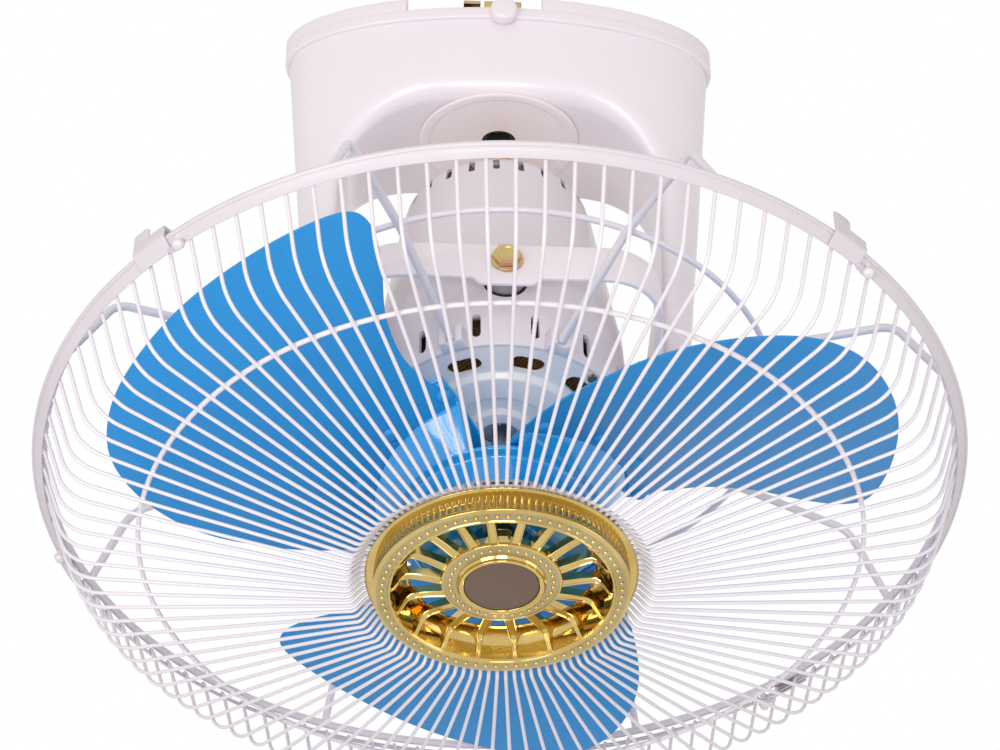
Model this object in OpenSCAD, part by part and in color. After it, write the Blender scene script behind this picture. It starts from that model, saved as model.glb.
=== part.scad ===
// Orbital ceiling fan. The origin is in the ceiling plane, +Z is up and the front is towards -Y.
// The head is drawn in its own frame: z along the motor axis from the pivot centre towards the
// badge, y towards the front. head_place() tips it by the orbit angle and hangs it in the housing.

/* [Ceiling bracket] */
// Width of the bracket plate
bracket_w = 150; // [130:1:170]
// Depth of the bracket plate
bracket_d = 60; // [52:1:64]
// Thickness of the bracket's sheet steel
bracket_t = 2; // [1.5:0.1:2.5]
// Distance between the ceiling screw holes, across
fix_hole_x = 80; // [70:1:90]
// Distance between the ceiling screw holes, front to back
fix_hole_y = 44; // [40:1:46]
// Radius of the ceiling screw holes
fix_hole_r = 3.25; // [2.5:0.05:4]
// Radius of the hole for the supply cable
cable_hole_r = 11; // [8:0.5:13]
// Width of the tongues that take the canopy knobs
tongue_w = 20; // [16:1:26]
// Radius of a canopy knob
knob_r = 7; // [5:0.5:7.5]
// Length of a canopy knob outside the housing
knob_h = 7; // [5:0.5:10]

/* [Housing] */
// Width of the housing's arms at its lip
arm_w = 32.5; // [28:0.5:36]
// Half the depth of the housing at its lip
lip_half_d = 50; // [50:1:56]
// How much deeper the housing is behind the pivots than in front of them
back_extra = 14; // [8:1:18]
// Height of the lip
lip_h = 14; // [10:1:16]
// Step from the lip to the body
lip_step = 2.3; // [1.5:0.1:3]
// Draft of the body, in millimetres per millimetre of height
draft = 0.084; // [0.06:0.002:0.09]
// Wall of the housing
wall = 2.5; // [2:0.1:2.5]
// Room between the strap and the arch
arch_room = 5; // [4.5:0.5:6.5]
// Radius of the arch's upper corners
arch_corner_r = 50; // [40:1:60]
// Depth of the arch's ceiling below the ceiling plane
arch_drop = 60.5; // [58:0.5:64]
// Depth of the pivot centre below the ceiling plane
gimbal_drop = 206; // [200:1:215]
// Length of the arms below the pivots
arm_below = 20; // [18:1:24]
// Radius of the arms' ends, seen from the side
arm_end_r = 16.5; // [16:0.25:18]
// Depth of the notch in the lip's front
notch_h = 7.5; // [5:0.5:8]
// Left end of the notch
notch_left = 52; // [40:1:60]
// Right end of the notch
notch_right = 21; // [18:1:40]

/* [Yoke and socket] */
// Thickness of the yoke's steel
yoke_t = 3; // [2.5:0.1:3.2]
// Width of the yoke's legs
yoke_leg_w = 16; // [14:1:16]
// Width of the yoke's web
yoke_web_w = 34; // [28:1:40]
// Radius of the round socket plate in the arch's ceiling
plate_r = 43.2; // [38:0.2:46]
// How far the socket plate stands down from the arch's ceiling
plate_down = 2; // [2:0.5:4]
// Radius of the hole in the socket plate
socket_hole_r = 9; // [8:0.5:11]
// Radius of the tilt pivot bolts
pivot_r = 4; // [3.5:0.1:4.5]
// Distance between the feet's bolts, across
foot_bolt_x = 104; // [100:1:110]

/* [Strap] */
// Room between the motor and the strap, a rounded square frame
strap_room = 12; // [11:0.5:13]
// Thickness of the strap's steel
strap_t = 2.5; // [2:0.1:3]
// Height of the strap
strap_h = 22.5; // [20:0.5:26]
// Outer corner radius of the strap
strap_corner_r = 30; // [24:1:36]
// Width of the strap's wide tabs
tab_w = 31; // [26:1:36]
// How far the tabs reach below the strap
tab_down = 4.3; // [3:0.1:6]
// Radius of the hex flange bolts that carry the head
gimbal_bolt_r = 4; // [3.5:0.1:4.5]

/* [Motor] */
// Angle between the motor axis and the vertical
orbit_angle = 12; // [10:0.5:12]
// Radius of the motor's front shell
motor_r = 65; // [64:0.5:66]
// Wall of the motor's shells
motor_wall = 2; // [1.6:0.1:2.2]
// Length of the motor behind the pivots
motor_back = 113; // [110:1:115]
// Length of the motor in front of the pivots
motor_front = 42; // [40:1:46]
// How much smaller the stator stack is than the front shell, in radius
stator_inset = 5; // [4.5:0.5:7]
// Half the length of the stator stack
stator_half = 20; // [16:1:21]
// Bore of the stator
stator_bore = 29; // [26:0.5:30]
// Air gap between the stator and the rotor
air_gap = 0.5; // [0.4:0.05:0.8]
// Radius of the motor shaft
shaft_r = 4; // [3.5:0.25:4.5]
// Outer radius of the shaft bearings
bearing_r = 11; // [10:0.5:12]
// Width of the shaft bearings
bearing_w = 7; // [6:0.5:8]
// Number of slots round the rear cover
rear_slots = 24; // [18:1:30]
// Number of slots round the front shell
front_slots = 14; // [12:1:16]
// Number of oval vents in the end bell
bell_vents = 10; // [8:1:12]
// Radius of the geared orbit motor's can
orbit_can_r = 24.75; // [22:0.25:26]
// Thickness of the geared orbit motor's can
orbit_can_h = 18; // [16:0.5:20]
// Height of the crank ball's centre above the pivots
ball_height = 137; // [134:0.5:137]
// Radius of the crank ball
ball_r = 5; // [4:0.25:5.5]

/* [Guard] */
// Distance from the pivots to the guard's rear edge
rim_z = 78; // [76:0.5:82]
// Outer radius of the guard's rim
rim_r = 230; // [226:0.5:232]
// Number of front guard wires
front_wires = 108; // [90:1:120]
// Diameter of the front guard wires
front_wire_d = 1.9; // [1.6:0.1:2.2]
// Radius of the front guard's middle ring
mid_ring_r = 175; // [165:1:185]
// Height of the front guard above its rear edge, at the middle
guard_h = 63; // [60:0.5:68]
// Bend radius of the front guard wires
guard_bend_r = 20; // [12:1:22]
// Diameter of the rear guard's wires
rear_wire_d = 4.3; // [3.8:0.1:4.6]
// Radius of the rear guard's ring
rear_ring_r = 139; // [130:1:150]
// Number of rear guard spokes
rear_spokes = 8; // [6:1:10]
// Where the rim clips' rivets stand, round the axis
clip_angles = [132.3, 45.7, 194.5, -48.1];

/* [Badge] */
// Outer radius of the bezel's flange
bezel_r = 66; // [64:0.5:68]
// Radius of the bezel's drum
drum_r = 61.4; // [60:0.2:62.5]
// Height of the bezel
bezel_h = 11.4; // [9:0.2:14]
// Number of flutes round the drum
flutes = 116; // [90:1:130]
// Number of bezel spokes
bezel_spokes = 18; // [12:1:24]
// Outer radius of the bezel's inner ring
inner_ring_r = 29.4; // [27:0.2:32]
// Radius of the plain disc in the middle
disc_r = 18.1; // [15:0.1:19]

/* [Fan] */
// Radius of the blade tips
blade_tip_r = 199; // [190:1:202]
// Thickness of the blades
blade_t = 1.2; // [0.8:0.1:1.6]
// Pitch of the blades
blade_pitch = 13.7; // [10:0.1:16]
// Distance from the pivots to the blades
blade_z = 82.7; // [80:0.1:86]
// Direction of the first blade
blade_phase = 18; // [0:1:120]
// Radius of the hub's drum
hub_r = 45; // [42:0.5:48]
// Height of the hub's drum in front of its flange
drum_h = 18; // [14:0.5:20]
// Radius of the arc where the blades end at the hub
blade_root_r = 63; // [60:0.5:65]
// Radius of the hub's arms
hub_arm_r = 80; // [76:0.5:84]
// Thickness of the hub's arms
hub_arm_t = 2.8; // [2.4:0.1:3.4]
// Radius of the blade rivets
rivet_r = 2; // [1.5:0.1:2.4]

/* [Hidden] */
$fn = 64;
slack = 0.3;       // gap between pieces that move past each other
touch = 0.05;      // running clearance of a shaft in its bore
weld_gap = 0.1;    // between wires that are welded
over = 1;          // how far a cut runs past the face that it opens
ring_fn = 144;

white = [0.94, 0.91, 0.90];
zinc = [0.78, 0.66, 0.36];
steel = [0.62, 0.63, 0.65];
gold = [0.83, 0.66, 0.25];
sky = [0.18, 0.58, 0.88];

strap_in = motor_r + strap_room;
strap_out = strap_in + strap_t;
arch_half_w = strap_out + arch_room;
lip_half_w = arch_half_w + arm_w;
stator_r = motor_r - stator_inset;
lip_top = -bracket_t;
lip_bottom = lip_top - lip_h;
arm_end = -gimbal_drop - arm_below;
body_half_w = lip_half_w - lip_step;
body_half_d = lip_half_d - lip_step;
taper = draft * (lip_bottom - arm_end);
arm_round = arm_end + arm_end_r;
arm_taper = draft * (lip_bottom - arm_round);
arm_k = sqrt(1 - pow(arch_half_w / (body_half_w - arm_taper), 2));
end_front = (body_half_d - arm_taper) * arm_k;
end_back = end_front + back_extra * arm_k;
web_bottom = -arch_drop + wall + 3.5;
web_top = web_bottom + yoke_t;
leg_in = arch_half_w + wall + 0.6;
leg_out = leg_in + yoke_t;
tongue_y = body_half_d - draft * 10 - wall - 1.4;
tongue_t = 1.6;
tongue_low = lip_top - 21;
knob_z = lip_top - 13;
hanger_x = foot_bolt_x / 2 + 9;
plate_low = -arch_drop - plate_down;
plate_neck_r = plate_r - 6;
foot_bolt_r = 2.5;

bush_wall = 2;
bush_out = arch_half_w - slack;
nut_t = 2.8;
pivot_head_h = 4.8;

bell_face = motor_front - 1;
bell_low = bell_face - 1.7;
stack_seat = 8;
rear_end_r = motor_r - 26;
cover_joint = -stator_half + 8;
window_r = 11;
boss_r = window_r - 1;
bearing_front_z = motor_front - 8;
bearing_rear_z = -stator_half - 25;
cup_z = -stator_half - 18;
hub_z = blade_z + 15.3;
shaft_end = hub_z + 12.2;
crank_z = motor_back + 5;
crank_t = 3;
orbit_ear = orbit_can_r + 4.25;
crank_w = 20;
crank_reach = ball_height * sin(orbit_angle);
ball_z = ball_height * cos(orbit_angle);
crank_shaft_r = 3.5;

// The guard's wires, as points (radius, distance from the pivots)
rim_wire_r = rim_r - 6.6;
guard_corner = [rim_r - 19, rim_z + guard_h - 22];
guard_inner = [bezel_r + 8, rim_z + guard_h];
wire_seat_z = rim_z + guard_h - 7;
front_path = [[rim_wire_r, rim_z + 2], guard_corner, guard_inner,
    [bezel_r + 1.6, wire_seat_z], [bezel_r - 7, wire_seat_z]];
rear_ring_z = rim_z - 48.5;
clip_r = motor_r + 6;
rim_ring_d = 4.2;
rim_ring_at = [rim_r - 5.5, rim_z - 2.3];
rear_elbow = [rim_r - 26, rim_z - 42];
rear_path = [[clip_r, motor_front - 1.5], [rear_ring_r, rear_ring_z], rear_elbow,
    rim_ring_at - unit(rim_ring_at - rear_elbow) * (rim_ring_d / 2 + weld_gap)];
ring_wire_d = 2.5;
inner_ring_d = 3;
inner_wire_r = bezel_r - 4.5;
rear_ring_d = 4;

bezel_z = wire_seat_z + front_wire_d / 2;
bezel_top = bezel_z + bezel_h;
badge_screw_r = drum_r - 5.5;
backing_t = 1.5;
backing_z = wire_seat_z - front_wire_d / 2 - 1.5 * weld_gap - inner_ring_d - backing_t;

// The rim's section, as (distance in from the rim's outer radius, height above its rear edge)
band_section = [[0, -0.8], [0, 0.6], [-5.4, 5.4], [-5.4, 4.2], [-1.2, 0], [-1.2, -0.8]];
clip_flange = [[0.6, 0.61], [1.6, 1.05], [-4.47, 6.45], [-5.13, 5.7]];
clip_wall = [[0.6, -5.6], [1.6, -5.6], [1.6, 1.05], [0.6, 0.61]];
clip_hook = [[-5.5, -5.6], [1, -5.6], [1, -4.9], [-5.5, -4.9]];
clip_tab = [[0.6, -12], [1.6, -12], [1.6, 1.05], [0.6, 0.61]];
clip_rivet_in = 3;
clip_seat = 5.7;
clip_disc_r = 3;
clip_t = 1.2;
clip_rivet_r = 1.5;

// The blade's outline, from the root's leading corner round the tip to its trailing corner,
// for a tip radius of 199: distance out along the blade, distance across it
blade_edge = [[60, -29], [78, -29], [98, -33], [120, -46], [142, -67], [160, -79], [174, -76],
    [187, -50], [196, -16], [199, 15], [196, 47], [188, 72], [173, 92], [152, 103], [126, 107],
    [100, 104], [74, 94], [52, 82], [34, 68], [25, 57.5]];
rivet_angles = [-23, 4.5, 32, 58];
arm_edge = [[4, -15], [24, -17], [60, -31], [72, -34]];
arm_back = [[42, 68], [26, 57], [14, 44], [2, 28]];

function arc(x, y, r, a0, a1, n) =
    [for (i = [0:n]) let (a = a0 + (a1 - a0) * i / n) [x + r * cos(a), y + r * sin(a)]];

// An oval that is back_extra deeper behind its long axis
function egg(a, b, n = 96) = [for (i = [0:n - 1]) let (t = 360 * i / n)
    [a * cos(t), (sin(t) > 0 ? b + back_extra : b) * sin(t)]];

// A round-cornered square outline
function square_ring(half, r) = concat(
    arc(half - r, half - r, r, 0, 90, 8), arc(r - half, half - r, r, 90, 180, 8),
    arc(r - half, r - half, r, 180, 270, 8), arc(half - r, r - half, r, 270, 360, 8));

function unit(v) = v / norm(v);

// Rounds the corner b between a and c with the radius r
function corner(a, b, c, r, n) = let (
    u = unit(a - b),
    v = unit(c - b),
    half = acos(u * v) / 2,
    centre = b + unit(u + v) * r / sin(half),
    from = b + u * r / tan(half) - centre,
    to = b + v * r / tan(half) - centre,
    a0 = atan2(from[1], from[0]),
    turn = atan2(from[0] * to[1] - from[1] * to[0], from * to)
) [for (i = [0:n]) centre + r * [cos(a0 + turn * i / n), sin(a0 + turn * i / n)]];

// A path whose inner corners are rounded
function rounded(path, radii) = concat([path[0]],
    [for (i = [1:len(path) - 2]) each corner(path[i - 1], path[i], path[i + 1], radii[i - 1], 6)],
    [path[len(path) - 1]]);

// A smooth closed or open run of points through hand-set ones
function spline(p, steps) = [for (i = [0:len(p) - 2], k = [0:steps - 1]) let (
    t = k / steps,
    a = p[max(i - 1, 0)],
    b = p[i],
    c = p[i + 1],
    d = p[min(i + 2, len(p) - 1)]
) 0.5 * (2 * b + (c - a) * t + (2 * a - 5 * b + 4 * c - d) * t * t
    + (3 * b - a - 3 * c + d) * t * t * t)];

// The side of a path at a distance d to its left
function side(p, d) = [for (i = [0:len(p) - 1]) let (
    t = unit(p[min(i + 1, len(p) - 1)] - p[max(i - 1, 0)])
) p[i] + d * [-t[1], t[0]]];

function turned(points) = [for (i = [len(points) - 1:-1:0]) points[i]];

module head_place() translate([0, 0, -gimbal_drop]) rotate([180 - orbit_angle, 0, 0]) children();

module at_pivot() translate([0, 0, -gimbal_drop]) children();

module mirrored_x() {
    children();
    mirror([1, 0, 0]) children();
}

module tube(r_out, r_in, h) difference() {
    cylinder(r = r_out, h = h);
    translate([0, 0, -over]) cylinder(r = r_in, h = h + 2 * over);
}

module hexagon(across, h) cylinder(r = across / sqrt(3), h = h, $fn = 6);

module ring(r, z, d) translate([0, 0, z])
    rotate_extrude($fn = ring_fn) translate([r, 0]) circle(d = d, $fn = 48);

// A bent wire in a half plane that holds the axis
module flat_wire(path, d) rotate([90, 0, 0]) translate([0, 0, -d / 2]) linear_extrude(d)
    polygon(concat(side(path, d / 2), turned(side(path, -d / 2))));

module radial_slot(r, w, z0, z1) translate([0, -w / 2, z0]) cube([r, w, z1 - z0]);

// ---------------------------------------------------------------- ceiling bracket

module bracket_side() {
    translate([hanger_x - bracket_t, -22, web_top]) cube([bracket_t, 44, -web_top]);
    translate([hanger_x - 18, -15, web_top]) cube([18, 30, bracket_t]);
}

module bracket_tongue() {
    translate([-tongue_w / 2, -tongue_y, lip_top]) cube([tongue_w, tongue_y, bracket_t]);
    translate([-tongue_w / 2, -tongue_y, tongue_low]) cube([tongue_w, tongue_t, -tongue_low]);
}

module ceiling_bracket() color(zinc) difference() {
    union() {
        translate([-bracket_w / 2, -bracket_d / 2, -bracket_t])
            cube([bracket_w, bracket_d, bracket_t]);
        mirrored_x() bracket_side();
        bracket_tongue();
        translate([0, back_extra, 0]) mirror([0, 1, 0]) bracket_tongue();
        translate([-21, -tongue_y, -bracket_t]) cube([9, tongue_y, bracket_t]);
    }
    for (x = [-1, 1], y = [-1, 1])
        translate([x * fix_hole_x / 2, y * fix_hole_y / 2, -bracket_t - over])
            cylinder(r = fix_hole_r, h = bracket_t + 2 * over);
    translate([0, 0, -bracket_t - over]) cylinder(r = cable_hole_r, h = bracket_t + 2 * over);
    foot_holes(web_top - over, bracket_t + 2 * over);
    translate([0, -tongue_y - over, knob_z]) rotate([-90, 0, 0])
        cylinder(r = 2, h = 2 * (tongue_y + over) + back_extra);
}

module foot_holes(z, h) for (x = [-1, 1], y = [-1, 1])
    translate([x * foot_bolt_x / 2, y * 9, z]) cylinder(r = foot_bolt_r, h = h);

module canopy_knob() translate([0, -lip_half_d - slack / 3, knob_z]) rotate([90, 0, 0]) {
    cylinder(r = knob_r, h = knob_h - 2);
    translate([0, 0, knob_h - 2]) cylinder(r1 = knob_r, r2 = knob_r - 2, h = 2);
    translate([0, 0, -lip_half_d + tongue_y - 4]) cylinder(r = 2, h = lip_half_d - tongue_y + 5);
}

module canopy_knobs() color(white) {
    canopy_knob();
    translate([0, back_extra, 0]) mirror([0, 1, 0]) canopy_knob();
}

// ---------------------------------------------------------------- housing

module tapered(inset) hull() {
    translate([0, 0, lip_bottom - 0.01]) linear_extrude(0.01)
        polygon(egg(body_half_w - inset, body_half_d - inset));
    translate([0, 0, arm_end]) linear_extrude(0.01)
        polygon(egg(body_half_w - taper - inset, body_half_d - taper - inset));
}

// The housing seen from the side: open above the arms' ends, which are half ovals
module side_profile(inset) rotate([90, 0, 90]) translate([0, 0, -lip_half_w - over])
    linear_extrude(2 * (lip_half_w + over)) polygon(concat(
        [[lip_half_d + back_extra + over, arm_round], [lip_half_d + back_extra + over, over],
            [-lip_half_d - over, over], [-lip_half_d - over, arm_round]],
        [for (p = arc(0, 0, 1, 180, 360, 24)) [(end_back - end_front) / 2
            + p[0] * ((end_front + end_back) / 2 - inset), arm_round + p[1] * (arm_end_r - inset)]]));

module body_solid(inset) intersection() {
    tapered(inset);
    side_profile(inset);
}

module arch(grow) rotate([90, 0, 0]) translate([0, 0, -lip_half_d - back_extra - over])
    linear_extrude(2 * (lip_half_d + over) + back_extra) polygon(concat(
        [[arch_half_w + grow, arm_end - 10]],
        arc(arch_half_w - arch_corner_r, -arch_drop - arch_corner_r,
            arch_corner_r + grow, 0, 90, 12),
        arc(arch_corner_r - arch_half_w, -arch_drop - arch_corner_r,
            arch_corner_r + grow, 90, 180, 12),
        [[-arch_half_w - grow, arm_end - 10]]));

module lip(inset, extra) translate([0, 0, lip_bottom - extra])
    linear_extrude(lip_h + 2 * extra) polygon(egg(lip_half_w - inset, lip_half_d - inset));

module housing() color(white) difference() {
    union() {
        body_solid(0);
        lip(0, 0);
    }
    difference() {
        body_solid(wall);
        arch(wall);
    }
    translate([0, 0, wall]) lip(wall, 0);
    lip(lip_step + wall, over);
    arch(0);
    translate([-notch_left, -lip_half_d - over, lip_top - notch_h])
        cube([notch_left + notch_right, 20, notch_h + over]);
    translate([0, 0, -arch_drop - over]) cylinder(r = plate_neck_r + 0.8, h = wall + 2 * over);
    at_pivot() rotate([0, 90, 0]) translate([0, 0, -leg_in])
        cylinder(r = pivot_r + 0.6, h = 2 * leg_in);
    translate([0, -lip_half_d - over, knob_z]) rotate([-90, 0, 0])
        cylinder(r = 2.4, h = 2 * (lip_half_d + over) + back_extra);
}

// ---------------------------------------------------------------- yoke and socket

module yoke_leg() translate([leg_in, -yoke_leg_w / 2, -gimbal_drop - 11])
    cube([yoke_t, yoke_leg_w, web_top + gimbal_drop + 11]);

module yoke() color(steel) difference() {
    union() {
        translate([-leg_out, -yoke_leg_w / 2, web_bottom]) cube([2 * leg_out, yoke_leg_w, yoke_t]);
        translate([-foot_bolt_x / 2 - 12, -yoke_web_w / 2, web_bottom])
            cube([foot_bolt_x + 24, yoke_web_w, yoke_t]);
        mirrored_x() yoke_leg();
    }
    foot_holes(web_bottom - over, yoke_t + 2 * over);
    translate([0, 0, web_bottom - over]) cylinder(r = socket_hole_r, h = yoke_t + 2 * over);
    plate_screws_at() translate([0, 0, web_bottom - over]) cylinder(r = 2, h = yoke_t + 2 * over);
    at_pivot() rotate([0, 90, 0]) translate([0, 0, -leg_out - over])
        cylinder(r = pivot_r + touch, h = 2 * (leg_out + over));
}

module yoke_bolts() color(zinc) for (x = [-1, 1], y = [-1, 1])
    translate([x * foot_bolt_x / 2, y * 9, 0]) {
        translate([0, 0, web_top + bracket_t]) hexagon(8, 3.5);
        translate([0, 0, web_bottom - 3]) cylinder(r = foot_bolt_r, h = yoke_t + bracket_t + 4);
        translate([0, 0, web_bottom - 3]) hexagon(8, 3);
    }

module plate_screws_at() for (s = [-1, 1]) translate([0, s * (socket_hole_r + 4.2), 0]) children();

module socket_plate() color(white) difference() {
    rotate_extrude($fn = ring_fn) polygon(concat(
        [[socket_hole_r, web_bottom], [socket_hole_r, plate_low]],
        arc(plate_r - 1, plate_low + 1, 1, -90, 0, 6), [[plate_r, -arch_drop - 0.9],
            [plate_neck_r, -arch_drop - 0.3], [plate_neck_r, web_bottom]]));
    plate_screws_at() translate([0, 0, web_bottom - 7]) cylinder(r = 1.9, h = 8);
}

module socket_plate_screws() color(steel) plate_screws_at() {
    translate([0, 0, web_top]) cylinder(r = 3.6, h = 2.4);
    translate([0, 0, web_bottom - 6.5]) cylinder(r = 1.9, h = yoke_t + 7.5);
}

module socket_bush() color([0.08, 0.08, 0.08]) translate([0, 0, plate_low + 2.5])
    tube(socket_hole_r, socket_hole_r - 2.5, web_top - plate_low - 2.5);

module terminal_block() color([0.9, 0.88, 0.82]) difference() {
    translate([8, -12, web_top]) cube([30, 22, 14]);
    for (x = [13, 23, 33]) translate([x, -1, web_top + 5]) cylinder(r = 2, h = 10);
}

module capacitor() color([0.16, 0.16, 0.17]) translate([-40, -15, web_top]) cube([28, 18, 22]);

module pivot_bolt() at_pivot() rotate([0, 90, 0]) {
    translate([0, 0, strap_in - slack - pivot_head_h]) hexagon(13, pivot_head_h);
    translate([0, 0, strap_in - slack - 1]) cylinder(r = pivot_r, h = leg_out + nut_t - strap_in + 1.3);
}

module pivot_bolts() color([0.52, 0.36, 0.28]) mirrored_x() pivot_bolt();

module pivot_nuts() color(zinc) mirrored_x() at_pivot() rotate([0, 90, 0])
    translate([0, 0, leg_out]) difference() {
        hexagon(11, nut_t);
        translate([0, 0, -over]) cylinder(r = pivot_r, h = nut_t + 2 * over);
    }

// ---------------------------------------------------------------- strap

module gimbal_strap() color(white) head_place() difference() {
    union() {
        translate([0, 0, -strap_h / 2]) linear_extrude(strap_h) difference() {
            polygon(square_ring(strap_out, strap_corner_r));
            polygon(square_ring(strap_in, strap_corner_r - strap_t));
        }
        for (s = [-1, 1]) translate([-tab_w / 2, s > 0 ? strap_in : -strap_out, 0])
            cube([tab_w, strap_t, strap_h / 2 + tab_down]);
    }
    rotate([90, 0, 0]) translate([0, 0, -strap_out - over])
        cylinder(r = gimbal_bolt_r + touch, h = 2 * (strap_out + over));
    rotate([0, 90, 0]) translate([0, 0, -strap_out - over])
        cylinder(r = pivot_r + bush_wall, h = 2 * (strap_out + over));
}

module pivot_bushes() color([0.85, 0.84, 0.8]) mirrored_x() at_pivot() rotate([0, 90, 0]) {
    translate([0, 0, strap_in]) tube(pivot_r + bush_wall, pivot_r + touch, strap_t);
    translate([0, 0, strap_out]) tube(9, pivot_r + touch, bush_out - strap_out);
}

// ---------------------------------------------------------------- motor

module gimbal_bolt() rotate([-90, 0, 0]) {
    translate([0, 0, strap_out + slack]) cylinder(r = 8.2, h = 1.6);
    translate([0, 0, strap_out + slack + 1.6]) hexagon(13, 3.2);
    translate([0, 0, stator_r + 2]) cylinder(r = gimbal_bolt_r, h = strap_out - stator_r - 1);
}

module gimbal_bolts() color(zinc) head_place() {
    gimbal_bolt();
    mirror([0, 1, 0]) gimbal_bolt();
}

module gimbal_boss() difference() {
    rotate([-90, 0, 0]) translate([0, 0, stator_r - 2])
        cylinder(r = boss_r, h = strap_in - slack - stator_r + 2);
    translate([0, 0, -20]) cylinder(r = stator_r, h = 40);
    rotate([-90, 0, 0]) cylinder(r = gimbal_bolt_r, h = strap_out);
}

module gimbal_bosses() color(zinc) head_place() {
    gimbal_boss();
    mirror([0, 1, 0]) gimbal_boss();
}

// The rear cover's outside, from its joint to its end
function rear_outside(off) = concat(
    [[motor_r - 1.2 - off, cover_joint], [motor_r - 4 - off, -30],
        [motor_r - 13 - off, -motor_back + 20]],
    arc(rear_end_r - 1, -motor_back + 12 + off / 2, 12 - off / 2, 0, -90, 8));

module motor_rear_cover() color(white) head_place() difference() {
    rotate_extrude($fn = ring_fn) polygon(concat(
        rear_outside(0), [[6, -motor_back], [6, -motor_back + motor_wall]],
        turned([for (p = rear_outside(motor_wall)) [p[0], max(p[1], motor_wall - motor_back)]]),
        [[stator_r + touch, cover_joint]]));
    for (i = [0:rear_slots - 1]) rotate([0, 0, 93 + 360 * i / rear_slots])
        radial_slot(motor_r, 3.4, -motor_back + motor_wall + 0.1, -motor_back + 16);
    orbit_screws_at() translate([0, 0, -motor_back - over]) cylinder(r = 1.8, h = 5);
}

module motor_front_shell() color(white) head_place() difference() {
    rotate_extrude($fn = ring_fn) polygon([
        [stator_r + touch, cover_joint], [motor_r - 1, cover_joint], [motor_r, 6],
        [motor_r, motor_front - 6], [motor_r - 1, motor_front], [motor_r - 2.8, motor_front],
        [motor_r - 2.8, bell_low], [motor_r - 8, bell_low], [motor_r - 8, motor_front - 4.5],
        [motor_r - motor_wall - 1, motor_front - 4.5],
        [motor_r - motor_wall, motor_front - 8], [motor_r - motor_wall, stator_half + 2],
        [stator_r + touch, stator_half + 1]]);
    for (s = [-90, 90]) rotate([s, 0, 0]) cylinder(r = window_r, h = motor_r + over);
    for (i = [0:front_slots - 1]) rotate([0, 0, 90 + (i + 0.5) * 360 / front_slots])
        radial_slot(motor_r + over, 3.6, stator_half + 3.5, stator_half + 14.5);
    bell_screws_at() translate([0, 0, motor_front - 6]) cylinder(r = 1.6, h = 6);
}

module bell_screws_at() for (a = [163, 283, 43]) rotate([0, 0, a])
    translate([motor_r - 5.2, 0, 0]) children();

module bell_vent() hull_free_slot(motor_r - 15, 9.6, 17.5);

// An oval hole along a circle of radius r, w wide and l long
module hull_free_slot(r, w, l) translate([0, 0, bearing_front_z]) {
    translate([r - w / 2, -(l - w) / 2, 0]) cube([w, l - w, 16]);
    for (s = [-1, 1]) translate([r, s * (l - w) / 2, 0]) cylinder(r = w / 2, h = 16);
}

module end_bell() color(white) head_place() difference() {
    rotate_extrude($fn = ring_fn) polygon([
        [bearing_r, bearing_front_z], [bearing_r + 3, bearing_front_z], [bearing_r + 3, bell_low],
        [motor_r - 3, bell_low], [motor_r - 3, bell_face], [motor_r - 23, bell_face - 0.2],
        [motor_r - 24.5, bell_face + 2.6], [motor_r - 38, bell_face + 3.4],
        [motor_r - 39, bell_face + 1.4], [18, bell_face + 1.6],
        [17, bell_face + 4.6], [10.4, bell_face + 5], [10, bell_face + 4.6], [10, bell_face + 0.6],
        [bearing_r, bell_face + 0.2]]);
    for (i = [0:bell_vents - 1]) rotate([0, 0, 77 + 360 * i / bell_vents]) bell_vent();
    bell_screws_at() translate([0, 0, motor_front - 6]) cylinder(r = 1.6, h = 12);
}

module bell_screws() color(zinc) head_place() bell_screws_at() {
    translate([0, 0, bell_face]) cylinder(r = 2.4, h = 1.8);
    translate([0, 0, motor_front - 6]) cylinder(r = 1.6, h = 6);
}

module stator_stack() color(steel) head_place() translate([0, 0, -stator_half])
    tube(stator_r, stator_bore, 2 * stator_half);

module windings() color([0.62, 0.36, 0.18]) head_place() for (s = [-1, 1])
    translate([0, 0, s > 0 ? stator_half : -stator_half - 13])
        tube(stator_r - 6, stator_bore + 5, 13);

module shaft_bearings() color(steel) head_place() {
    translate([0, 0, bearing_front_z]) tube(bearing_r, shaft_r + touch, bearing_w);
    translate([0, 0, bearing_rear_z]) tube(bearing_r, shaft_r + touch, bearing_w);
}

// A pressed cup behind the stator, which holds the rear bearing
module bearing_bracket() color(steel) head_place() rotate_extrude($fn = ring_fn) polygon([
    [bearing_r, bearing_rear_z], [bearing_r + 2.5, bearing_rear_z],
    [bearing_r + 2.5, cup_z], [stator_r - 3, cup_z],
    [stator_r - 3, -stator_half], [stator_r - 5, -stator_half], [stator_r - 5, cup_z + 2],
    [bearing_r - 2, cup_z + 2], [bearing_r - 2, bearing_rear_z + bearing_w],
    [bearing_r, bearing_rear_z + bearing_w]]);

// ---------------------------------------------------------------- orbit drive

module orbit_screws_at() for (s = [-1, 1]) translate([s * orbit_ear, 0, 0]) children();

// The geared motor, whose ears are screwed to the rear cover
module orbit_motor() color(steel) head_place() difference() {
    union() {
        translate([0, 0, -motor_back + motor_wall + 4]) cylinder(r = orbit_can_r, h = orbit_can_h);
        translate([-orbit_ear - 5, -5, -motor_back + motor_wall + 2]) cube([2 * orbit_ear + 10, 10, 3]);
        orbit_screws_at() translate([0, 0, -motor_back + motor_wall]) cylinder(r = 4, h = 3);
    }
    translate([0, 0, -motor_back]) cylinder(r = crank_shaft_r + touch, h = 18);
    orbit_screws_at() translate([0, 0, -motor_back]) cylinder(r = 1.8, h = 10);
}

module orbit_motor_screws() color(zinc) head_place() orbit_screws_at() {
    translate([0, 0, -motor_back - 2]) cylinder(r = 3.2, h = 2);
    translate([0, 0, -motor_back - 1]) cylinder(r = 1.8, h = 7.5);
}

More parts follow.
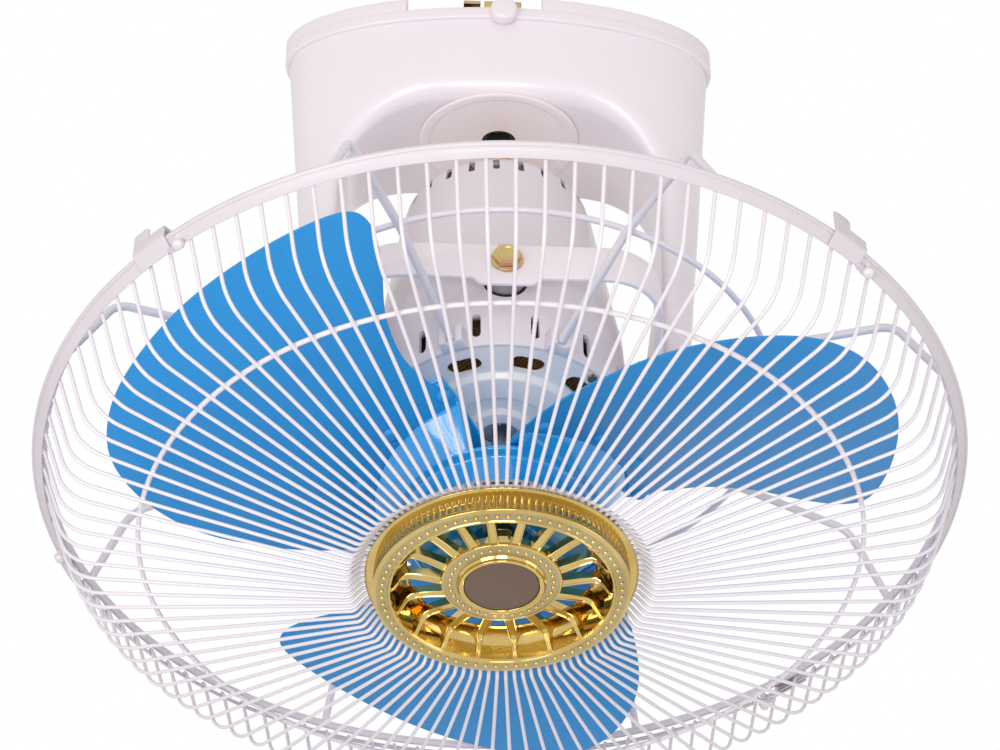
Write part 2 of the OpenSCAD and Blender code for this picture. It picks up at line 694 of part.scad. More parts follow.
module crank_shaft() color(steel) head_place() translate([0, 0, -crank_z - crank_t - 2])
    cylinder(r = crank_shaft_r, h = crank_z + crank_t + 1 - motor_back + 16);

module crank_arm() color(zinc) head_place() translate([0, 0, -crank_z - crank_t]) difference() {
    union() {
        cylinder(r = crank_w / 2, h = crank_t);
        translate([-crank_w / 2, 0, 0]) cube([crank_w, crank_reach, crank_t]);
        translate([0, crank_reach, 0]) cylinder(r = crank_w / 2, h = crank_t);
        cylinder(r = 6.5, h = crank_t + 3);
    }
    translate([0, 0, -over]) cylinder(r = crank_shaft_r, h = crank_t + 3 + 2 * over);
    translate([0, crank_reach, -over]) cylinder(r = 3, h = crank_t + 2 * over);
}

module crank_ball() color(zinc) head_place() translate([0, crank_reach, 0]) {
    translate([0, 0, -ball_z]) sphere(r = ball_r);
    translate([0, 0, -ball_z]) cylinder(r = 3, h = ball_z - crank_z + 1.5);
}

// ---------------------------------------------------------------- rear guard

module rear_guard_spokes() color(white) head_place() for (i = [0:rear_spokes - 1])
    rotate([0, 0, 67.5 + 360 * i / rear_spokes])
        flat_wire(rounded(rear_path, [30, 14]), rear_wire_d);

module rear_guard_ring() color(white) head_place()
    ring(rear_ring_r, rear_ring_z + 0.2 - rear_wire_d / 2 - rear_ring_d / 2 - weld_gap, rear_ring_d);

module rear_rim_ring() color(white) head_place()
    ring(rim_ring_at[0], rim_ring_at[1], rim_ring_d);

module spoke_clips() color(white) head_place() for (i = [0:rear_spokes - 1])
    rotate([0, 0, 67.5 + 360 * i / rear_spokes]) difference() {
        translate([motor_r - 2, -6, motor_front - 9]) cube([9, 12, 11]);
        translate([0, 0, motor_front - 20]) cylinder(r = motor_r, h = 30);
        translate([clip_r - 0.5, -rear_wire_d / 2 - weld_gap, motor_front - 10])
            cube([10, rear_wire_d + 2 * weld_gap, 14]);
    }

// ---------------------------------------------------------------- front guard

function at_rim(section) = [for (p = section) [rim_r + p[0], rim_z + p[1]]];

module front_rim_band() color(white) head_place() difference() {
    rotate_extrude($fn = ring_fn) polygon(at_rim(band_section));
    clips_at() {
        translate([0, 0, rim_z]) cylinder(r = clip_rivet_r, h = 12);
        translate([0, 0, rim_z - 2]) cylinder(r = 2, h = 2.9);
    }
}

module front_guard_wires() color(white) head_place() for (i = [0:front_wires - 1])
    rotate([0, 0, 91.2 + 360 * i / front_wires])
        flat_wire(rounded(front_path, [guard_bend_r, 4, 3]), front_wire_d);

// The slanting face between the guard's bend and its middle
function face_z(r) = guard_corner[1] + (guard_inner[1] - guard_corner[1])
    * (guard_corner[0] - r) / (guard_corner[0] - guard_inner[0]);

module front_mid_ring() color(white) head_place() ring(mid_ring_r,
    face_z(mid_ring_r) - front_wire_d / 2 - ring_wire_d / 2 - weld_gap, ring_wire_d);

module front_inner_ring() color(white) head_place() ring(inner_wire_r,
    wire_seat_z - front_wire_d / 2 - inner_ring_d / 2 - weld_gap, inner_ring_d);

// ---------------------------------------------------------------- rim clips

module clips_at() for (a = clip_angles) rotate([0, 0, a])
    translate([rim_r - clip_rivet_in, 0, 0]) children();

module clip_rivets() color(white) head_place() clips_at() translate([0, 0, rim_z]) {
    translate([0, 0, clip_seat + clip_t + 0.2]) cylinder(r1 = 2.9, r2 = 1.9, h = 1.8);
    cylinder(r = clip_rivet_r, h = clip_seat + clip_t + 0.8);
    cylinder(r = 1.8, h = 0.8);
}

module arc_sweep(section, a0, a1) rotate([0, 0, a0])
    rotate_extrude(angle = a1 - a0, $fn = 720) polygon(at_rim(section));

// A swivelling clip that grips the band and the rear rim ring together
module rim_clip(a) color(white) head_place() rotate([0, 0, a]) difference() {
    union() {
        arc_sweep(clip_flange, 1.4, 6.5);
        arc_sweep(clip_wall, 1.4, 6.5);
        arc_sweep(clip_hook, 1.4, 4.6);
        arc_sweep(clip_tab, 4, 6.5);
        translate([rim_r - clip_rivet_in, 0, rim_z + clip_seat]) {
            cylinder(r = clip_disc_r, h = clip_t);
            translate([-clip_disc_r, 0, 0]) cube([clip_disc_r, 7, clip_t]);
        }
    }
    translate([rim_r - clip_rivet_in, 0, rim_z]) cylinder(r = clip_rivet_r + touch, h = 12);
}

module rim_clip_1() rim_clip(clip_angles[0]);
module rim_clip_2() rim_clip(clip_angles[1]);
module rim_clip_3() rim_clip(clip_angles[2]);
module rim_clip_4() rim_clip(clip_angles[3]);

// ---------------------------------------------------------------- badge

module bezel_drum() rotate_extrude($fn = ring_fn) polygon([
    [drum_r + 2.6, bezel_z], [bezel_r, bezel_z], [bezel_r, bezel_z + 2], [drum_r, bezel_z + 2.8],
    [drum_r, bezel_top - 0.8], [drum_r - 0.8, bezel_top], [drum_r - 7.2, bezel_top + 0.4],
    [drum_r - 10.8, bezel_z + 3], [drum_r - 10.8, bezel_z], [drum_r - 9.2, bezel_z],
    [drum_r - 9.2, bezel_z + 2.6], [drum_r - 6, bezel_top - 1.6], [drum_r - 1.8, bezel_top - 1.8],
    [drum_r - 1.8, bezel_z + 1.2], [drum_r + 2.6, bezel_z + 0.8]]);

module bezel_flutes() translate([0, 0, bezel_z + 3.2]) linear_extrude(bezel_h - 4.6) difference() {
    polygon([for (i = [0:flutes - 1], k = [0:3])
        let (a = 360 * (i + k / 4) / flutes, r = drum_r + (k < 2 ? 0.8 : 0.2))
        [r * cos(a), r * sin(a)]]);
    circle(r = drum_r - 0.4, $fn = ring_fn);
}

module bezel_centre() rotate_extrude($fn = ring_fn) polygon([
    [0, bezel_z + 3], [disc_r + 2, bezel_z + 3], [inner_ring_r - 2, bezel_z + 2.4],
    [inner_ring_r - 2, bezel_z], [inner_ring_r, bezel_z], [inner_ring_r, bezel_z + 4],
    [inner_ring_r - 1, bezel_z + 4.8], [disc_r + 3.6, bezel_z + 5], [disc_r + 2.6, bezel_z + 7.6],
    [disc_r + 0.8, bezel_z + 7.8], [disc_r + 0.1, bezel_z + 6.8], [disc_r + 0.1, bezel_z + 4.8],
    [0, bezel_z + 4.8]]);

module badge_screws_at() for (a = [30, 150, 270]) rotate([0, 0, a])
    translate([badge_screw_r, 0, 0]) children();

module badge_bezel() color(gold) head_place() {
    difference() {
        union() {
            bezel_drum();
            bezel_flutes();
            bezel_centre();
            for (i = [0:bezel_spokes - 1]) rotate([0, 0, 90 + (i + 0.5) * 360 / bezel_spokes])
                translate([inner_ring_r - 1, -0.9, bezel_z])
                    cube([drum_r - 8.8 - inner_ring_r, 1.8, 4.6]);
            badge_screws_at() translate([0, 0, backing_z + backing_t])
                cylinder(r = 3, h = bezel_top - 1 - backing_z - backing_t);
        }
        badge_screws_at() translate([0, 0, backing_z]) cylinder(r = 1.5, h = bezel_h + 1);
    }
}

module badge_disc() color([0.44, 0.36, 0.31]) head_place() translate([0, 0, bezel_z + 4.8])
    cylinder(r = disc_r, h = 2.2);

module badge_backing_ring() color(steel) head_place() translate([0, 0, backing_z]) difference() {
    tube(inner_wire_r + 2, badge_screw_r - 5, backing_t);
    badge_screws_at() translate([0, 0, -over]) cylinder(r = 1.7, h = 4);
}

module badge_screws() color(zinc) head_place() badge_screws_at() {
    translate([0, 0, backing_z - 1.8]) cylinder(r = 3, h = 1.8);
    translate([0, 0, backing_z - 1]) cylinder(r = 1.5, h = 10);
}

// ---------------------------------------------------------------- fan

module motor_shaft() color(steel) head_place() translate([0, 0, bearing_rear_z - 3])
    cylinder(r = shaft_r, h = shaft_end - bearing_rear_z + 3);

module rotor_core() color([0.7, 0.7, 0.72]) head_place() translate([0, 0, -stator_half])
    tube(stator_bore - air_gap, shaft_r, 2 * stator_half);

module blade_place(k) rotate([0, 0, blade_phase + 120 * k]) translate([0, 0, blade_z])
    rotate([blade_pitch, 0, 0]) children();

module rivets_at() for (a = rivet_angles) rotate([0, 0, a])
    translate([blade_root_r + 7, 0, 0]) children();

blade_points = [for (p = spline(blade_edge, 4)) p * blade_tip_r / 199];
arm_turn = [-25, 57];

hub_core_r = 14;
hub_wall = 2.5;
recess_r = 16;
recess_z = hub_z + 6;
hub_sector = [-27, 64];

// The flange that carries a blade
module hub_arm() translate([0, 0, -blade_t / 2 - hub_arm_t]) linear_extrude(hub_arm_t) polygon(concat(
    arm_edge, arc(0, 0, hub_arm_r, arm_turn[0], arm_turn[1], 16), arm_back));

module sector(r0, r1, h) linear_extrude(h) polygon(concat(
    arc(0, 0, r1, hub_sector[0], hub_sector[1], 14), turned(arc(0, 0, r0, hub_sector[0], hub_sector[1], 14))));

// The panel from the drum's flange down to the blade's root
module hub_panel(k) hull() {
    blade_place(k) translate([0, 0, -blade_t / 2 - 1]) sector(blade_root_r - 5, blade_root_r - slack, 2.4);
    rotate([0, 0, blade_phase + 120 * k]) translate([0, 0, hub_z - 3])
        sector(hub_r - 4, hub_r + 4.5, 2.6);
}

module hub_drum() rotate_extrude($fn = ring_fn) polygon([
    [shaft_r, blade_z - 16], [hub_core_r, blade_z - 16], [hub_core_r, recess_z - 3],
    [recess_r + hub_wall, recess_z - 3], [recess_r + hub_wall, hub_z + drum_h - hub_wall],
    [hub_r - hub_wall, hub_z + drum_h - hub_wall], [hub_r - hub_wall, hub_z - 3],
    [hub_r + 5, hub_z - 3], [hub_r + 5, hub_z - 0.6], [hub_r + 0.8, hub_z], [hub_r, hub_z + 1],
    [hub_r - 0.6, hub_z + drum_h - 1.5], [hub_r - 2, hub_z + drum_h], [recess_r, hub_z + drum_h],
    [recess_r, recess_z], [shaft_r, recess_z]]);

module fan_hub() color([0.15, 0.65, 0.92]) head_place() difference() {
    union() {
        hub_drum();
        for (k = [0:2]) {
            blade_place(k) hub_arm();
            hub_panel(k);
        }
    }
    translate([0, 0, blade_z - 20]) cylinder(r = shaft_r, h = 60);
    for (k = [0:2]) blade_place(k) rivets_at() translate([0, 0, -8]) cylinder(r = rivet_r, h = 16);
}

module hub_washer() color(steel) head_place() translate([0, 0, recess_z])
    tube(9, shaft_r + 0.2, 1.2);

module hub_nut() color(zinc) head_place() translate([0, 0, recess_z + 1.2]) difference() {
    hexagon(13, 6.5);
    translate([0, 0, -over]) cylinder(r = shaft_r, h = shaft_end - recess_z - 1.2 + over);
}

module blade(k) color(sky) head_place() blade_place(k) difference() {
    translate([0, 0, -blade_t / 2]) linear_extrude(blade_t) difference() {
        polygon(concat(blade_points, [blade_edge[len(blade_edge) - 1] * blade_tip_r / 199]));
        circle(r = blade_root_r, $fn = ring_fn);
    }
    rivets_at() translate([0, 0, -over]) cylinder(r = rivet_r, h = 4);
}

module blade_1() blade(0);
module blade_2() blade(1);
module blade_3() blade(2);

module blade_rivets() color(sky) head_place() for (k = [0:2]) blade_place(k) rivets_at() {
    translate([0, 0, blade_t / 2]) cylinder(r1 = 4, r2 = 2.6, h = 1.8);
    translate([0, 0, -blade_t / 2 - hub_arm_t - 0.6]) cylinder(r = rivet_r, h = hub_arm_t + blade_t + 1);
    translate([0, 0, -blade_t / 2 - hub_arm_t - 1.4]) cylinder(r = 3, h = 1.4);
}

ceiling_bracket();
canopy_knobs();
housing();
yoke();
yoke_bolts();
socket_plate();
socket_bush();
socket_plate_screws();
terminal_block();
capacitor();
pivot_bolts();
pivot_nuts();
gimbal_strap();
pivot_bushes();
gimbal_bolts();
gimbal_bosses();
motor_rear_cover();
motor_front_shell();
end_bell();
bell_screws();
stator_stack();
windings();
shaft_bearings();
bearing_bracket();
orbit_motor();
orbit_motor_screws();
crank_shaft();
crank_arm();
crank_ball();
rear_guard_spokes();
rear_guard_ring();
rear_rim_ring();
spoke_clips();
front_rim_band();
front_guard_wires();
front_mid_ring();
front_inner_ring();
clip_rivets();
rim_clip_1();
rim_clip_2();
rim_clip_3();
rim_clip_4();
badge_bezel();
badge_disc();
badge_backing_ring();
badge_screws();
motor_shaft();
rotor_core();
fan_hub();
hub_washer();
hub_nut();
blade_1();
blade_2();
blade_3();
blade_rivets();
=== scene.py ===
"""An orbital ceiling fan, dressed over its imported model.

Lengths are in millimetres while a piece is made and become metres when it is placed. Pieces of the
head are made in the head's own frame, whose z runs from the pivots along the motor to the badge and
whose y points to the front.
"""

import math

import bmesh
import bpy
from mathutils import Matrix, Vector


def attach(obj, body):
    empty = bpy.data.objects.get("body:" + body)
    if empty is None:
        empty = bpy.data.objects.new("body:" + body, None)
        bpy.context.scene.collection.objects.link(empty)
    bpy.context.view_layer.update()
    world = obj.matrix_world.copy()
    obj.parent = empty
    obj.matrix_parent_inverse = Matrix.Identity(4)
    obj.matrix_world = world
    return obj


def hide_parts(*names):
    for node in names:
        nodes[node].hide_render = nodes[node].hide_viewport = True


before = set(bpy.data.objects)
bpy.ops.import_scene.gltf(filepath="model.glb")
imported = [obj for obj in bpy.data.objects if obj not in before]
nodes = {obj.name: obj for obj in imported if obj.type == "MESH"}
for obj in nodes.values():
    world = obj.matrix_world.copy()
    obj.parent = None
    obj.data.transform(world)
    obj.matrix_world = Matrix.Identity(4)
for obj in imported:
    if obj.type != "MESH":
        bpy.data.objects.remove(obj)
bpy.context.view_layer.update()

GIMBAL_DROP = 206
LEAN = 12
METRES = Matrix.Scale(0.001, 4)
ROW = METRES
HEAD = (Matrix.Translation((0, 0, -GIMBAL_DROP / 1000))
        @ Matrix.Rotation(math.radians(180 - LEAN), 4, "X") @ METRES)

RIM_Z = 78
RIM_R = 230
WIRE_D = 1.9
SEAT_Z = RIM_Z + 56
BEZEL_Z = SEAT_Z + WIRE_D / 2
BLADE_Z = 82.7
BLADE_PHASE = 18
BLADE_PITCH = 13.7
BLADE_T = 1.2


# ------------------------------------------------------------------ finishes

class Signal:
    """One output of a finish's nodes. Sums and products of signals add Math nodes."""

    def __init__(self, finish, socket):
        self.finish = finish
        self.socket = socket

    def maths(self, operation, a, b):
        return self.finish.node("ShaderNodeMath", {"operation": operation}, {0: a, 1: b})

    def __add__(self, other):
        return self.maths("ADD", self, other)

    def __mul__(self, other):
        return self.maths("MULTIPLY", self, other)

    __radd__ = __add__
    __rmul__ = __mul__


class Finish:
    """A material, whose shader's fixed values are given by name."""

    def __init__(self, name, **values):
        self.material = bpy.data.materials.new(name)
        self.material.use_nodes = True
        self.tree = self.material.node_tree
        self.shader = self.tree.nodes["Principled BSDF"]
        for key, value in values.items():
            self.put(self.shader.inputs[key.replace("_", " ")], value)

    def put(self, socket, value):
        if isinstance(value, Signal):
            self.tree.links.new(value.socket, socket)
        else:
            socket.default_value = value

    def node(self, kind, settings=None, sockets=None, out=0):
        made = self.tree.nodes.new(kind)
        for key, value in (settings or {}).items():
            if key == "stops":
                for stop, (place, shade) in zip(made.color_ramp.elements, value):
                    stop.position = place
                    stop.color = (shade, shade, shade, 1)
            else:
                setattr(made, key, value)
        for key, value in (sockets or {}).items():
            self.put(made.inputs[key], value)
        return Signal(self, made.outputs[out])

    def place(self):
        return self.node("ShaderNodeTexCoord", out=3)

    def noise(self, scale, detail=3.0, rough=0.55, where=None):
        return self.node("ShaderNodeTexNoise", {"normalize": True}, {
            "Vector": where or self.place(), "Scale": scale, "Detail": detail, "Roughness": rough})

    def ramp(self, value, low, high):
        return self.node("ShaderNodeValToRGB", {"stops": [(low, 0.0), (high, 1.0)]}, {0: value})

    def blend(self, factor, a, b):
        return self.node("ShaderNodeMix", {"data_type": "RGBA"}, {0: factor, 6: a, 7: b}, out=2)

    def bump(self, height, strength, distance):
        return self.node("ShaderNodeBump", {}, {
            "Height": height, "Strength": strength, "Distance": distance})

    def drive(self, **signals):
        for key, value in signals.items():
            self.put(self.shader.inputs[key.replace("_", " ")], value)
        return self.material


def colour(red, green, blue):
    """A display colour of 0 to 255 as the shader's linear colour."""
    def linear(c):
        c /= 255
        return c / 12.92 if c <= 0.04045 else ((c + 0.055) / 1.055) ** 2.4
    return (linear(red), linear(green), linear(blue), 1)


def enamel(name, base, shade, rough, peel, coat=0.0, grain=900):
    """Sprayed or moulded colour: faint blotches, a fine orange-peel skin and uneven gloss."""
    f = Finish(name, Roughness=rough, Coat_Weight=coat, Coat_Roughness=0.08, IOR=1.5)
    blotch = f.ramp(f.noise(14, 4), 0.3, 0.75)
    skin = f.noise(grain, 2)
    return f.drive(Base_Color=f.blend(blotch * 0.6 + skin * 0.15, colour(*base), colour(*shade)),
                   Roughness=blotch * 0.08 + skin * 0.06 + (rough - 0.07),
                   Normal=f.bump(skin + f.noise(grain / 5, 2) * 0.8, peel, 0.0002))


def plating(name, base, tints, rough):
    """Bright metal with a tinted film that shifts over the surface, and faint handling marks."""
    f = Finish(name, Metallic=1.0)
    film = f.noise(55, 3, 0.6)
    stain = f.noise(160, 4, 0.65)
    tinted = f.blend(f.ramp(film, 0.42, 0.62), colour(*base), colour(*tints[0]))
    tinted = f.blend(f.ramp(stain, 0.55, 0.72) * 0.7, tinted, colour(*tints[1]))
    return f.drive(Base_Color=tinted, Roughness=stain * 0.16 + (rough - 0.05),
                   Normal=f.bump(f.noise(700, 3), 0.12, 0.0001))


def machined(name, base, rough):
    """Turned or rolled steel, with fine lines across the grain."""
    f = Finish(name, Metallic=1.0)
    stretched = f.node("ShaderNodeMapping", {}, {"Vector": f.place(), "Scale": (1, 1, 12)})
    lines = f.noise(420, 3, 0.6, where=stretched)
    dull = f.noise(40, 3)
    shade = [c * 0.72 for c in base]
    return f.drive(Base_Color=f.blend(dull * 0.7, colour(*base), colour(*shade)),
                   Roughness=lines * 0.2 + (rough - 0.1), Normal=f.bump(lines, 0.2, 0.0001))


def gold(name, base, deep, rough, stipple):
    """Metallised plastic: a warm mirror, or the finely stippled ground between its beads."""
    f = Finish(name, Metallic=1.0)
    cloud = f.noise(38, 3)
    pores = f.noise(2600, 2, 0.5)
    return f.drive(Base_Color=f.blend(f.ramp(cloud, 0.35, 0.7), colour(*base), colour(*deep)),
                   Roughness=cloud * 0.06 + pores * stipple * 0.3 + rough,
                   Normal=f.bump(pores, 0.04 + stipple, 0.00012))


def lamination():
    """The stator's edge: stacked sheets, with varnish that has run between them."""
    f = Finish("stacked sheets", Metallic=1.0)
    axis = f.node("ShaderNodeMapping", {}, {
        "Vector": f.place(), "Rotation": (math.radians(LEAN), 0, 0)})
    sheets = f.node("ShaderNodeTexWave", {"bands_direction": "Z"}, {
        "Vector": axis, "Scale": 320, "Distortion": 0.4, "Detail": 1.0})
    varnish = f.ramp(f.noise(60, 4), 0.4, 0.7)
    return f.drive(Base_Color=f.blend(varnish, colour(150, 148, 150), colour(96, 80, 66)),
                   Roughness=varnish * 0.2 + 0.3, Normal=f.bump(sheets, 0.4, 0.0003))


def windings():
    """Bundled enamelled wire."""
    f = Finish("wound wire", Metallic=0.6, Coat_Weight=0.4)
    turns = f.node("ShaderNodeTexWave", {"bands_direction": "DIAGONAL"}, {
        "Vector": f.place(), "Scale": 240, "Distortion": 3.0, "Detail": 2.0})
    return f.drive(Base_Color=f.blend(turns, colour(176, 138, 92), colour(120, 88, 54)),
                   Roughness=turns * 0.15 + 0.3, Normal=f.bump(turns, 0.8, 0.0006))


wire_white = enamel("wire powder coat", (234, 226, 231), (226, 217, 223), 0.32, 0.10, 0.25, 1400)
# The band's coat is painted darker than the wires' powder coat, a painted shade that holds down the
# light its slanted face catches; its rougher, thinner coat is the band's own.
darkened_band_white = enamel("band powder coat, painted darker", (216, 207, 212), (208, 199, 205), 0.4, 0.10, 0.1, 1400)
shell_white = enamel("shell enamel", (235, 225, 229), (226, 216, 220), 0.36, 0.14, 0.2, 900)
# The bell's enamel is the shell's white painted brighter and warmer: painted light against the
# shade inside the guard and the blue light bounced from the blades.
brightened_bell_white = enamel("bell enamel, painted brighter", (255, 246, 240), (250, 240, 234), 0.36, 0.14, 0.2, 900)
# The strap's enamel is painted brighter than the shell's: painted light against the shade it sits
# in under the housing's arch.
brightened_strap_white = enamel("strap enamel, painted brighter", (246, 235, 239), (240, 229, 233), 0.38, 0.14, 0.15, 900)
housing_white = enamel("moulded white", (240, 229, 233), (235, 224, 229), 0.34, 0.05, 0.2, 600)
plate_white = enamel("socket plate white", (246, 234, 234), (240, 228, 228), 0.4, 0.05, 0.1, 600)
blade_blue = enamel("blade blue", (36, 148, 218), (30, 140, 210), 0.45, 0.12, 0.05, 800)
hub_blue = enamel("hub blue", (30, 160, 232), (24, 150, 222), 0.12, 0.02, 0.9, 500)
disc_brown = enamel("badge brown", (106, 84, 70), (98, 77, 64), 0.5, 0.05, 0.0, 900)
black_plastic = enamel("black plastic", (34, 34, 36), (26, 26, 28), 0.5, 0.1)
ivory_plastic = enamel("ivory plastic", (226, 220, 202), (214, 206, 186), 0.45, 0.08)
nylon = enamel("natural nylon", (222, 220, 208), (212, 208, 194), 0.4, 0.05)
rubber = enamel("black rubber", (30, 30, 30), (22, 22, 22), 0.75, 0.3)
zinc = plating("yellow zinc", (205, 182, 120), [(196, 150, 120), (168, 176, 116)], 0.26)
reddish = plating("bronzed bolt", (150, 110, 88), [(124, 84, 66), (166, 128, 92)], 0.34)
steel = machined("turned steel", (176, 178, 182), 0.34)
gold_mirror = gold("gold mirror", (216, 190, 122), (196, 168, 98), 0.07, 0.0)
gold_ground = gold("gold ground", (188, 173, 134), (174, 158, 118), 0.26, 0.35)
sheets = lamination()
copper = windings()

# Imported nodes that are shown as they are, or with eased edges.
NODE_FINISH = {
    "ceiling_bracket": zinc, "yoke": steel, "yoke_bolts": zinc, "socket_bush": rubber,
    "socket_plate_screws": steel, "terminal_block": ivory_plastic, "capacitor": black_plastic,
    "pivot_bolts": reddish, "pivot_nuts": zinc, "pivot_bushes": nylon, "gimbal_bosses": steel,
    "bell_screws": zinc, "stator_stack": sheets, "windings": copper, "shaft_bearings": steel,
    "bearing_bracket": steel, "orbit_motor": steel, "orbit_motor_screws": zinc,
    "crank_shaft": steel, "crank_arm": zinc, "crank_ball": zinc, "spoke_clips": wire_white,
    "clip_rivets": wire_white, "badge_backing_ring": steel, "badge_screws": zinc,
    "motor_shaft": steel, "rotor_core": sheets, "hub_washer": steel, "hub_nut": zinc,
}
for name, finish in NODE_FINISH.items():
    data = nodes[name].data
    data.materials.clear()
    data.materials.append(finish)


# ------------------------------------------------------------------ shapes

def mesh_of(points, faces):
    mesh = bpy.data.meshes.new("shape")
    mesh.from_pydata([tuple(p) for p in points], [], faces)
    mesh.validate()
    return mesh


def outward(mesh):
    """Merges doubles and turns every face outwards."""
    bm = bmesh.new()
    bm.from_mesh(mesh)
    bmesh.ops.remove_doubles(bm, verts=bm.verts, dist=0.0005)
    bmesh.ops.recalc_face_normals(bm, faces=bm.faces)
    bm.to_mesh(mesh)
    bm.free()
    return mesh


def shaded(mesh, angle=32):
    mesh.shade_smooth()
    mesh.set_sharp_from_angle(angle=math.radians(angle))
    return mesh


def shifted(path, out, up):
    """A profile moved away from its axis and up."""
    return [(out + r, up + z) for r, z in path]


def arc(x, y, r, a0, a1, n):
    return [(x + r * math.cos(math.radians(a0 + (a1 - a0) * i / n)),
             y + r * math.sin(math.radians(a0 + (a1 - a0) * i / n))) for i in range(n + 1)]


def fillet(path, radii, steps=6, closed=False):
    """Rounds the corners of a flat path, each by its own radius."""
    out = []
    count = len(path)
    for i, point in enumerate(path):
        r = radii[i] if isinstance(radii, (list, tuple)) else radii
        if r <= 0 or (not closed and i in (0, count - 1)):
            out.append(tuple(point))
            continue
        b = Vector(point)
        u = (Vector(path[i - 1]) - b)
        v = (Vector(path[(i + 1) % count]) - b)
        half = u.angle(v) / 2
        if half > math.radians(89):
            out.append(tuple(point))
            continue
        reach = min(r / math.tan(half), 0.49 * u.length, 0.49 * v.length)
        r = reach * math.tan(half)
        u.normalize()
        v.normalize()
        centre = b + (u + v).normalized() * (r / math.sin(half))
        start = b + u * reach - centre
        turn = start.angle_signed(b + v * reach - centre) if r > 1e-6 else 0
        for k in range(steps + 1):
            a = -turn * k / steps
            out.append((centre.x + start.x * math.cos(a) - start.y * math.sin(a),
                        centre.y + start.x * math.sin(a) + start.y * math.cos(a)))
    return out


def revolve(profile, steps=192, closed=True, a0=0.0, a1=360.0):
    """Turns a profile of (radius, z) about z."""
    full = a1 - a0 >= 360
    rows = steps if full else steps + 1
    points, faces = [], []
    n = len(profile)
    for i in range(rows):
        a = math.radians(a0 + (a1 - a0) * i / steps)
        points += [(r * math.cos(a), r * math.sin(a), z) for r, z in profile]
    for i in range(steps):
        j = (i + 1) % rows
        for k in range(n if closed else n - 1):
            m = (k + 1) % n
            faces.append((i * n + k, j * n + k, j * n + m, i * n + m))
    if closed and not full:
        faces.append(tuple(range(n)))
        faces.append(tuple(reversed(range((rows - 1) * n, rows * n))))
    return outward(mesh_of(points, faces))


def ring(radius, z, wire, steps=240, sides=12):
    return revolve([(radius + wire * math.cos(2 * math.pi * k / sides),
                     z + wire * math.sin(2 * math.pi * k / sides)) for k in range(sides)], steps)


def slab(outline, z0, z1):
    """A flat outline with a thickness."""
    n = len(outline)
    points = [(x, y, z0) for x, y in outline] + [(x, y, z1) for x, y in outline]
    faces = [tuple(range(n)), tuple(range(n, 2 * n))]
    faces += [(k, (k + 1) % n, n + (k + 1) % n, n + k) for k in range(n)]
    return outward(mesh_of(points, faces))


def joined(*meshes):
    bm = bmesh.new()
    for mesh in meshes:
        bm.from_mesh(mesh)
    out = bpy.data.meshes.new("joined")
    bm.to_mesh(out)
    bm.free()
    return out


def turned(mesh, matrix):
    mesh = mesh.copy()
    mesh.transform(matrix)
    return mesh


def about(angle):
    return Matrix.Rotation(math.radians(angle), 4, "Z")


def finished(mesh, modifiers):
    """The mesh after its modifiers, each given as (type, settings)."""
    thing = bpy.data.objects.new("shape", mesh)
    bpy.context.scene.collection.objects.link(thing)
    for kind, settings in modifiers:
        modifier = thing.modifiers.new(kind, kind)
        for key, value in settings.items():
            setattr(modifier, key, value)
    bpy.context.view_layer.update()
    out = bpy.data.meshes.new_from_object(
        thing.evaluated_get(bpy.context.evaluated_depsgraph_get()))
    bpy.data.objects.remove(thing)
    return out


def carved(mesh, cutters):
    """The mesh with holes cut through it."""
    tool = bpy.data.objects.new("cutter", outward(joined(*cutters)))
    bpy.context.scene.collection.objects.link(tool)
    out = finished(mesh, [("BOOLEAN", {"object": tool, "operation": "DIFFERENCE",
                                       "solver": "EXACT"})])
    bpy.data.objects.remove(tool)
    return out


def piece(name, mesh, body, finish, stands_for=(), place=HEAD):
    """Puts a mesh in its place as a piece of the fan."""
    mesh = mesh.copy()
    mesh.name = name
    mesh.transform(place)
    if finish is not None:
        mesh.materials.clear()
        mesh.materials.append(finish)
    thing = bpy.data.objects.new(name, mesh)
    bpy.context.scene.collection.objects.link(thing)
    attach(thing, body)
    if stands_for:
        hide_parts(*stands_for)
    return thing


def rounding(width, segments, angle):
    """A bevel of the edges that are sharper than an angle."""
    return ("BEVEL", {"width": width, "segments": segments, "limit_method": "ANGLE",
                      "angle_limit": math.radians(angle)})


def packed(node, flatness=None):
    """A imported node's solid in millimetres, with its loose triangles merged."""
    bm = bmesh.new()
    bm.from_mesh(nodes[node].data)
    bm.transform(Matrix.Scale(1000, 4))
    bmesh.ops.remove_doubles(bm, verts=bm.verts, dist=0.001)
    if flatness:
        bmesh.ops.dissolve_limit(bm, angle_limit=math.radians(flatness), verts=bm.verts,
                                 edges=bm.edges)
    mesh = bpy.data.meshes.new(node)
    bm.to_mesh(mesh)
    bm.free()
    return mesh


def eased(node, width):
    """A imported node's solid with its sharp edges rounded."""
    return shaded(finished(packed(node, 0.6), [rounding(width, 2, 35)]), 38)


# ------------------------------------------------------------------ repeats

def new_node(tree, kind, settings, sockets):
    """A node, whose settings are made before the values or links of its sockets."""
    made = tree.nodes.new(kind)
    for key, value in settings.items():
        setattr(made, key, value)
    for key, value in sockets.items():
        if isinstance(value, bpy.types.NodeSocket):
            tree.links.new(value, made.inputs[key])
        else:
            made.inputs[key].default_value = value
    return made


